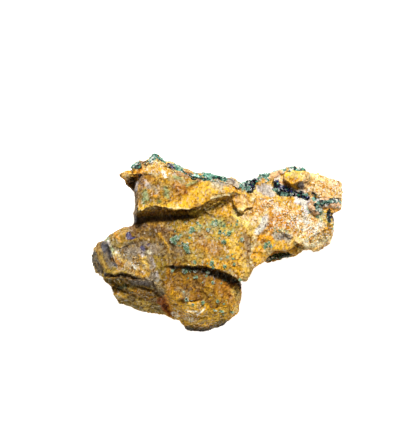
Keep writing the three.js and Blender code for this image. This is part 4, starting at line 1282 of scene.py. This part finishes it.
# where the growths are densest: a path, how wide, how many, and their mean size
AZURITE_SPRAYS = [
    ([(23.6, 23.2), (25, 22), (27, 21.4), (29.4, 21)], 0.8, 150, 1.1),
    ([(32.4, 20.4), (34.6, 20)], 0.25, 14, 0.7),
    ([(37.6, 20), (40.2, 18.2)], 0.8, 30, 0.8),
    ([(13.2, 23.4), (14.6, 24.4), (15.6, 25.2)], 0.8, 100, 1.1),
    ([(46, 11.4), (46.2, 9.2)], 0.5, 22, 0.6),
    ([(30.6, 30), (31.6, 30)], 0.3, 8, 0.8),
    ([(-19.4, 31.2), (-17.6, 30.2)], 0.5, 12, 0.7),
    ([(-31, 27), (-30.4, 25.6)], 0.4, 8, 0.7),
    ([(0, 26), (1.6, 25.2)], 0.7, 14, 0.7),
]
MALACHITE_SPRAYS = [
    ([(22.8, 21.4), (24, 19.9), (27, 19.3), (29.8, 19.8)], 0.6, 50, 0.6),
    ([(23.4, 21.6), (24.4, 20.6)], 0.4, 10, 0.6),
    ([(30, 20.6), (31.2, 20.2)], 0.3, 6, 0.5),
    ([(33, 19.6), (36.2, 19.2)], 0.3, 18, 0.45),
    ([(37.6, 18), (39.4, 16.6), (41.4, 15.8)], 0.7, 26, 0.55),
    ([(42.2, 16.5), (45.6, 16.5), (49.4, 16.4)], 0.35, 34, 0.4),
    ([(39.4, 14.6), (42, 12.4)], 1.1, 26, 0.5),
    ([(9.6, 24), (10.6, 22.2), (12.4, 21.4)], 1.1, 80, 0.6),
    ([(15.6, 26.6), (19.6, 26.4)], 0.8, 22, 0.7),
    ([(2, 25.6), (3.6, 25)], 0.5, 10, 0.5),
    ([(46.6, 8), (46.2, 5.4)], 0.4, 10, 0.4),
]
QUARTZ_SPRAYS = [
    ([(17, 15), (26, 13), (34, 10)], 4.5, 330, 0.6),
    ([(24, 9), (34, 6), (42, 5)], 4, 340, 0.65),
    ([(32, 1), (42, 1)], 2.5, 90, 0.6),
    ([(38, 23), (47, 20)], 4, 240, 0.6),
    ([(23, 26), (25.6, 23.6)], 1.2, 16, 0.5),
    ([(36.8, 24), (37.6, 21)], 0.6, 12, 0.5),
    ([(-16.6, -28.4), (-8, -30)], 1.4, 40, 0.6),
    ([(-40, -4), (-34, -8), (-30, -9)], 3, 40, 0.5),
    ([(-27, 31), (-18, 29)], 2, 50, 0.55),
    ([(42, 14.8), (49, 14.6)], 0.7, 60, 0.55),
    ([(42.6, 11.4), (44.4, 9)], 0.9, 34, 0.55),
]


def highest(grounds, x, y):
    """The topmost spot over a place in plan, and the way it faces."""
    hits = [seen_from_above(tree, x, y) for tree in grounds]
    hits = [(at, out) for at, out in hits if at is not None]
    return max(hits, key=lambda hit: hit[0].z) if hits else (None, None)


def sprayed(sprays, templates, grounds, lean, name, finish):
    """Scatters copies of the templates along the sprays, on the topmost of the grounds."""
    chance = random.Random(71)
    work = bmesh.new()
    for path, width, count, mean_size in sprays:
        for _ in range(count):
            at = beside_path(path, width, chance)
            foot, out = highest(grounds, at.x, at.y)
            if foot is None:
                continue
            out = leaning(out, lean, chance)
            size = mean_size * chance.uniform(0.6, 1.35)
            template = chance.choice(templates)
            planted(work, template, foot - 0.3 * size * out, out, size, chance.uniform(0, math.tau))
    finished(work, name, finish)


# ---- finishes ----
class Signal:
    """A socket that takes part in sums: each operator adds its Math node."""

    def __init__(self, finish, socket):
        self.finish = finish
        self.socket = socket

    def sum(self, operation, first, second):
        return self.finish.node("Math", {"operation": operation}, {0: first, 1: second})

    def __add__(self, other):
        return self.sum("ADD", self, other)

    __radd__ = __add__

    def __sub__(self, other):
        return self.sum("SUBTRACT", self, other)

    def __rsub__(self, other):
        return self.sum("SUBTRACT", other, self)

    def __mul__(self, other):
        return self.sum("MULTIPLY", self, other)

    __rmul__ = __mul__

    def above(self, edge, band):
        """0 below the edge, 1 a band above it."""
        settings = {"interpolation_type": "SMOOTHSTEP"}
        sockets = {"Value": self, "From Min": edge, "From Max": edge + band}
        return self.finish.node("MapRange", settings, sockets)


class Finish:
    """A material in the making."""

    def __init__(self, name):
        material = bpy.data.materials.new(name)
        material.use_nodes = True
        self.tree = material.node_tree
        self.tree.nodes.clear()
        self.place = self.node("TexCoord", {}, {}, "Object")

    def node(self, kind, settings, sockets, output=0):
        """Adds a node: its settings first, then the values or links of its sockets."""
        node = self.tree.nodes.new("ShaderNode" + kind)
        for name, value in settings.items():
            setattr(node, name, value)
        for name, value in sockets.items():
            self.feed(self.socket(node.inputs, name), value)
        if output is None:
            return None
        return Signal(self, self.socket(node.outputs, output))

    def socket(self, sockets, name):
        """The socket in use with a name, or with a number in their order."""
        if isinstance(name, int):
            return [socket for socket in sockets if socket.enabled][name]
        return next(socket for socket in sockets if socket.name == name and socket.enabled)

    def feed(self, socket, value):
        """Links a signal or sets a value; a name stands for its colour in the palette."""
        if isinstance(value, Signal):
            self.tree.links.new(value.socket, socket)
        elif isinstance(value, str):
            socket.default_value = (*COLOURS[value], 1)
        else:
            socket.default_value = value

    def attribute(self, name, output):
        return self.node("Attribute", {"attribute_name": name}, {}, output)

    def vector(self, operation, *values):
        return self.node("VectorMath", {"operation": operation}, dict(enumerate(values)))

    def astray(self, colour, amount):
        """A shift that goes a way of its own wherever the colour changes."""
        return self.vector("SCALE", self.vector("SUBTRACT", colour, (0.5, 0.5, 0.5)), amount)

    def mix(self, share, first, second, blend="MIX"):
        settings = {"data_type": "RGBA", "blend_type": blend}
        return self.node("Mix", settings, {"Factor": share, "A": first, "B": second})

    def ripple(self, size, detail=2):
        """Soft noise of a size."""
        sockets = {"Vector": self.place, "Scale": 1 / (size * MM), "Detail": detail}
        return self.node("TexNoise", {}, sockets)

    def cells(self, size):
        """A colour of its own for each grain of a size."""
        sockets = {"Vector": self.place, "Scale": 1 / (size * MM)}
        return self.node("TexVoronoi", {}, sockets, "Color")

    def part(self, colour, index):
        """The red, green or blue of a colour: 0, 1 or 2."""
        return self.node("SeparateColor", {}, {"Color": colour}, index)

    def streaks(self, size, turn, stretch):
        """Cells with ragged seams, stretched along a line."""
        sockets = {"Vector": self.place, "Scale": 1 / (1.6 * size * MM), "Detail": 1}
        ragged = self.astray(self.node("TexNoise", {}, sockets, "Color"), 1.4 * size * MM)
        moved = self.vector("ADD", self.place, ragged)
        laid = {"Vector": moved, "Rotation": (0.3, 0.2, turn), "Scale": (1, stretch, 1)}
        sockets = {"Vector": self.node("Mapping", {}, laid), "Scale": 1 / (size * MM)}
        return self.node("TexVoronoi", {}, sockets, "Color")

    def leant(self, normal, cells, amount):
        """A normal that leans a way of its own in each cell."""
        return self.vector("NORMALIZE", self.vector("ADD", normal, self.astray(cells, amount)))

    def tilted(self, cells, amount):
        return self.leant(self.node("NewGeometry", {}, {}, "Normal"), cells, amount)

    def bumped(self, height, depth, normal):
        sockets = {"Height": height, "Distance": depth * MM, "Strength": 1.0, "Normal": normal}
        return self.node("Bump", {}, sockets)

    def shade(self, sockets):
        """Ends the material with its surface shader."""
        surface = self.node("BsdfPrincipled", {}, sockets)
        self.node("OutputMaterial", {}, {"Surface": surface}, None)


def rock_finish():
    """The stain with its grain: dark seams, bright faces, painted shade in the hollows, and glassy grains
    where it is clean, whose white is partly painted glint.
    """
    finish = Finish("stained_quartz")
    stain = finish.attribute("stain", "Color")
    sugar = finish.attribute("sugar", "Fac")
    hollow = finish.attribute("hollow", "Fac")
    crest = finish.attribute("crest", "Fac")
    across = finish.streaks(0.75, 0.9, 0.72)
    along = finish.streaks(0.6, -0.5, 0.66)
    fine = finish.cells(0.42)
    tone = 0.38 * finish.part(across, 0) + 0.34 * finish.part(along, 0) + 0.28 * finish.part(fine, 0)
    mottle = finish.ripple(1.9, 3)
    value = tone + 0.7 * (mottle - 0.5) + 0.1 * crest
    cool = finish.attribute("cool", "Fac")
    warm_seam = finish.mix(sugar, (0.47, 0.34, 0.13, 1), (0.67, 0.45, 0.25, 1))
    seam = finish.mix(cool, warm_seam, (0.5, 0.46, 0.44, 1))
    deep = finish.mix(1.0, stain, seam, "MULTIPLY")
    bright = finish.mix(1.0, stain, (1.43, 1.42, 1.34, 1), "MULTIPLY")
    body = finish.mix(value.above(0.18, 0.3), deep, stain)
    body = finish.mix(value.above(0.52, 0.3), body, bright)
    clean = finish.part(across, 1).above(0.7, 0.05) * sugar
    body = finish.mix(clean * 0.5, body, "shell")
    # the glassy grains are glossier, and their white is partly the clean quartz's own, partly a painted
    # glint
    glassy_with_glint = finish.part(along, 1).above(0.9, 0.02)
    body = finish.mix(glassy_with_glint * (0.05 + 0.6 * sugar), body, "white")
    # painted shade: the hollows are darkened, less so where the quartz is clean
    shade = finish.mix(cool, (0.42, 0.28, 0.1, 1), (0.42, 0.36, 0.32, 1))
    shaded = finish.mix(1.0, body, shade, "MULTIPLY")
    body = finish.mix((0.8 - 0.4 * sugar) * hollow, body, shaded)
    tilted = finish.tilted(across, 0.35 + 0.35 * sugar)
    tilted = finish.leant(tilted, fine, 0.3)
    normal = finish.bumped(finish.ripple(0.45, 2), 0.08, tilted)
    finish.shade({
        "Base Color": body,
        "Roughness": 0.8 - 0.55 * glassy_with_glint,
        "Normal": normal,
        "Specular IOR Level": 0.22,
    })


def quartz_finish():
    """Clear quartz points, each with the iron's colour or without it."""
    finish = Finish("quartz_points")
    cells = finish.cells(1.1)
    tone = finish.part(cells, 0)
    body = finish.mix(tone.above(0.3, 0.1), "orange", "cream")
    body = finish.mix(tone.above(0.6, 0.1), body, "white")
    body = finish.mix(finish.part(cells, 1).above(0.8, 0.05), body, "golden")
    finish.shade({"Base Color": body, "Roughness": 0.25, "Specular IOR Level": 0.5})


def needle_finish(name, shade, middle, pale):
    """Malachite that is dark where its tip value is low and pales where it is high: painted shade at the
    foot of needles and in seams, painted highlight at tips and crowns over its own green, with a few dark
    grains and a few white ones as painted glints.
    """
    finish = Finish(name)
    tip = finish.attribute("tip", "Fac")
    cells = finish.cells(0.8)
    tone = finish.part(cells, 0)
    value = tip + 0.7 * (tone - 0.5)
    body = finish.mix(value.above(0.02, 0.3), shade, middle)
    body = finish.mix(value.above(0.34, 0.4), body, pale)
    body = finish.mix(finish.part(cells, 1).above(0.88, 0.03) * 0.8, body, "azurite_shade")
    body = finish.mix(finish.part(cells, 2).above(0.82, 0.03) * 0.75, body, "white")
    normal = finish.bumped(finish.ripple(0.3, 2), 0.06, finish.tilted(finish.cells(0.7), 0.3))
    finish.shade({"Base Color": body, "Roughness": 0.5, "Normal": normal})


def azurite_finish():
    """Nearly black crystals, darker towards their foot, with a few bright blue grains near their tips
    that stand partly for glints, and a few green and pale grains.
    """
    finish = Finish("azurite_growth")
    tip = finish.attribute("tip", "Fac")
    cells = finish.cells(0.8)
    tone = finish.part(cells, 0)
    body = finish.mix(tip.above(0.3, 0.6), "azurite_shade", "azurite")
    # the bright blue grains are partly painted glints on the azurite's own blue
    body = finish.mix(tone.above(0.9, 0.04) * tip, body, "azurite_bright")
    body = finish.mix(finish.part(cells, 1).above(0.89, 0.03), body, "malachite")
    body = finish.mix(finish.part(cells, 2).above(0.91, 0.03) * 0.8, body, "lavender")
    normal = finish.bumped(finish.ripple(0.5, 1), 0.03, finish.node("NewGeometry", {}, {}, "Normal"))
    finish.shade({
        "Base Color": body, "Roughness": 0.2, "Normal": normal, "Specular IOR Level": 0.6,
    })


# ---- the studio ----
FLOOR_SIZE = 4
FLOOR_GAP = 0.0002  # keeps the floor's face apart from the stone's
CAMERA_HEIGHT = 3.0
CAMERA_AIM = (-0.0038, 0.008)
VIEW_LENGTH = 0.1784  # what the longer side of the view covers at the stone's middle height
MIDDLE_HEIGHT = 0.02
SENSOR = 36
SUN_FROM = (0.12, 0.62, 0.85)
SUN_STRENGTH = 4.0
SUN_BREADTH = math.radians(9)
SKY_STRENGTH = 0.16
PAPER_GLOW = 1.06


def paper_finish():
    paper = Finish("white_paper")
    tone = paper.mix(paper.ripple(0.5), (0.9, 0.9, 0.9, 1), (0.94, 0.94, 0.94, 1))
    paper.shade({
        "Base Color": tone, "Roughness": 0.9, "Emission Color": tone,
        "Emission Strength": PAPER_GLOW,
    })


def studio():
    """White paper under the stone, one broad sun, a faint sky, and a camera straight above."""
    paper_finish()
    work = bmesh.new()
    below = Matrix.Translation((0, 0, -FLOOR_GAP))
    bmesh.ops.create_grid(work, x_segments=1, y_segments=1, size=FLOOR_SIZE / 2, matrix=below)
    floor = show(mesh_from(work, "floor"), "floor")
    coat(floor, "white_paper")

    sun = bpy.data.lights.new("key", "SUN")
    sun.energy = SUN_STRENGTH
    sun.angle = SUN_BREADTH
    show(sun, "key").rotation_euler = (-Vector(SUN_FROM)).to_track_quat("-Z", "Y").to_euler()

    world = bpy.data.worlds.new("studio")
    world.use_nodes = True
    sky = world.node_tree.nodes["Background"]
    sky.inputs["Color"].default_value = (1, 1, 1, 1)
    sky.inputs["Strength"].default_value = SKY_STRENGTH
    bpy.context.scene.world = world

    lens = bpy.data.cameras.new("camera")
    lens.sensor_width = SENSOR
    lens.lens = SENSOR * (CAMERA_HEIGHT - MIDDLE_HEIGHT) / VIEW_LENGTH
    camera = show(lens, "camera")
    camera.location = (*CAMERA_AIM, CAMERA_HEIGHT)
    bpy.context.scene.camera = camera
    bpy.context.scene.view_settings.view_transform = "Standard"


# ---- the specimen ----
studio()
rock_finish()
azurite_finish()
quartz_finish()
needle_finish("malachite_growth", "malachite_shade", "malachite", "malachite_pale")
# the malachite under the shelf is painted darker than elsewhere: painted shade over its own dark green
needle_finish("malachite_in_shade", "shade_black", "dark_green", "green")
needle_finish("malachite_in_vein", "shade_black", "malachite_shade", "malachite")
needle_finish("malachite_needles", "tuft_shade", "tuft", "tuft_pale")

rock = matrix_rock()
malachite_tufts(rock)
crust = malachite_crust(rock)
vein = malachite_band(
    "malachite_vein", "malachite_vein_ground", "malachite_in_vein",
    sink=-0.6, lines=VEIN_LINES, rosettes_wanted=8, needles_wanted=60, seed=37,
)
malachite_band(
    "malachite_under_shelf", "malachite_shelf_tufts", "malachite_in_shade",
    sink=0.4, lines=SHELF_LINES, rosettes_wanted=24, needles_wanted=160, seed=41,
)
beds = [azurite_bed(*bed, rock) for bed in AZURITE_BEDS]

grounds = [rock, vein, *beds, crust]
crystals = crystal_meshes(AZURITE_HABITS)
points = crystal_meshes(QUARTZ_HABITS)
rosettes = tuft_meshes(random.Random(73), 4, SPRAY_NEEDLES)
sprayed(AZURITE_SPRAYS, crystals, grounds, 0.9, "azurite_crystals", "azurite_growth")
sprayed(QUARTZ_SPRAYS, points, [rock], 0.9, "quartz_points", "quartz_points")
sprayed(MALACHITE_SPRAYS, rosettes, grounds, 0.5, "malachite_sprays", "malachite_growth")
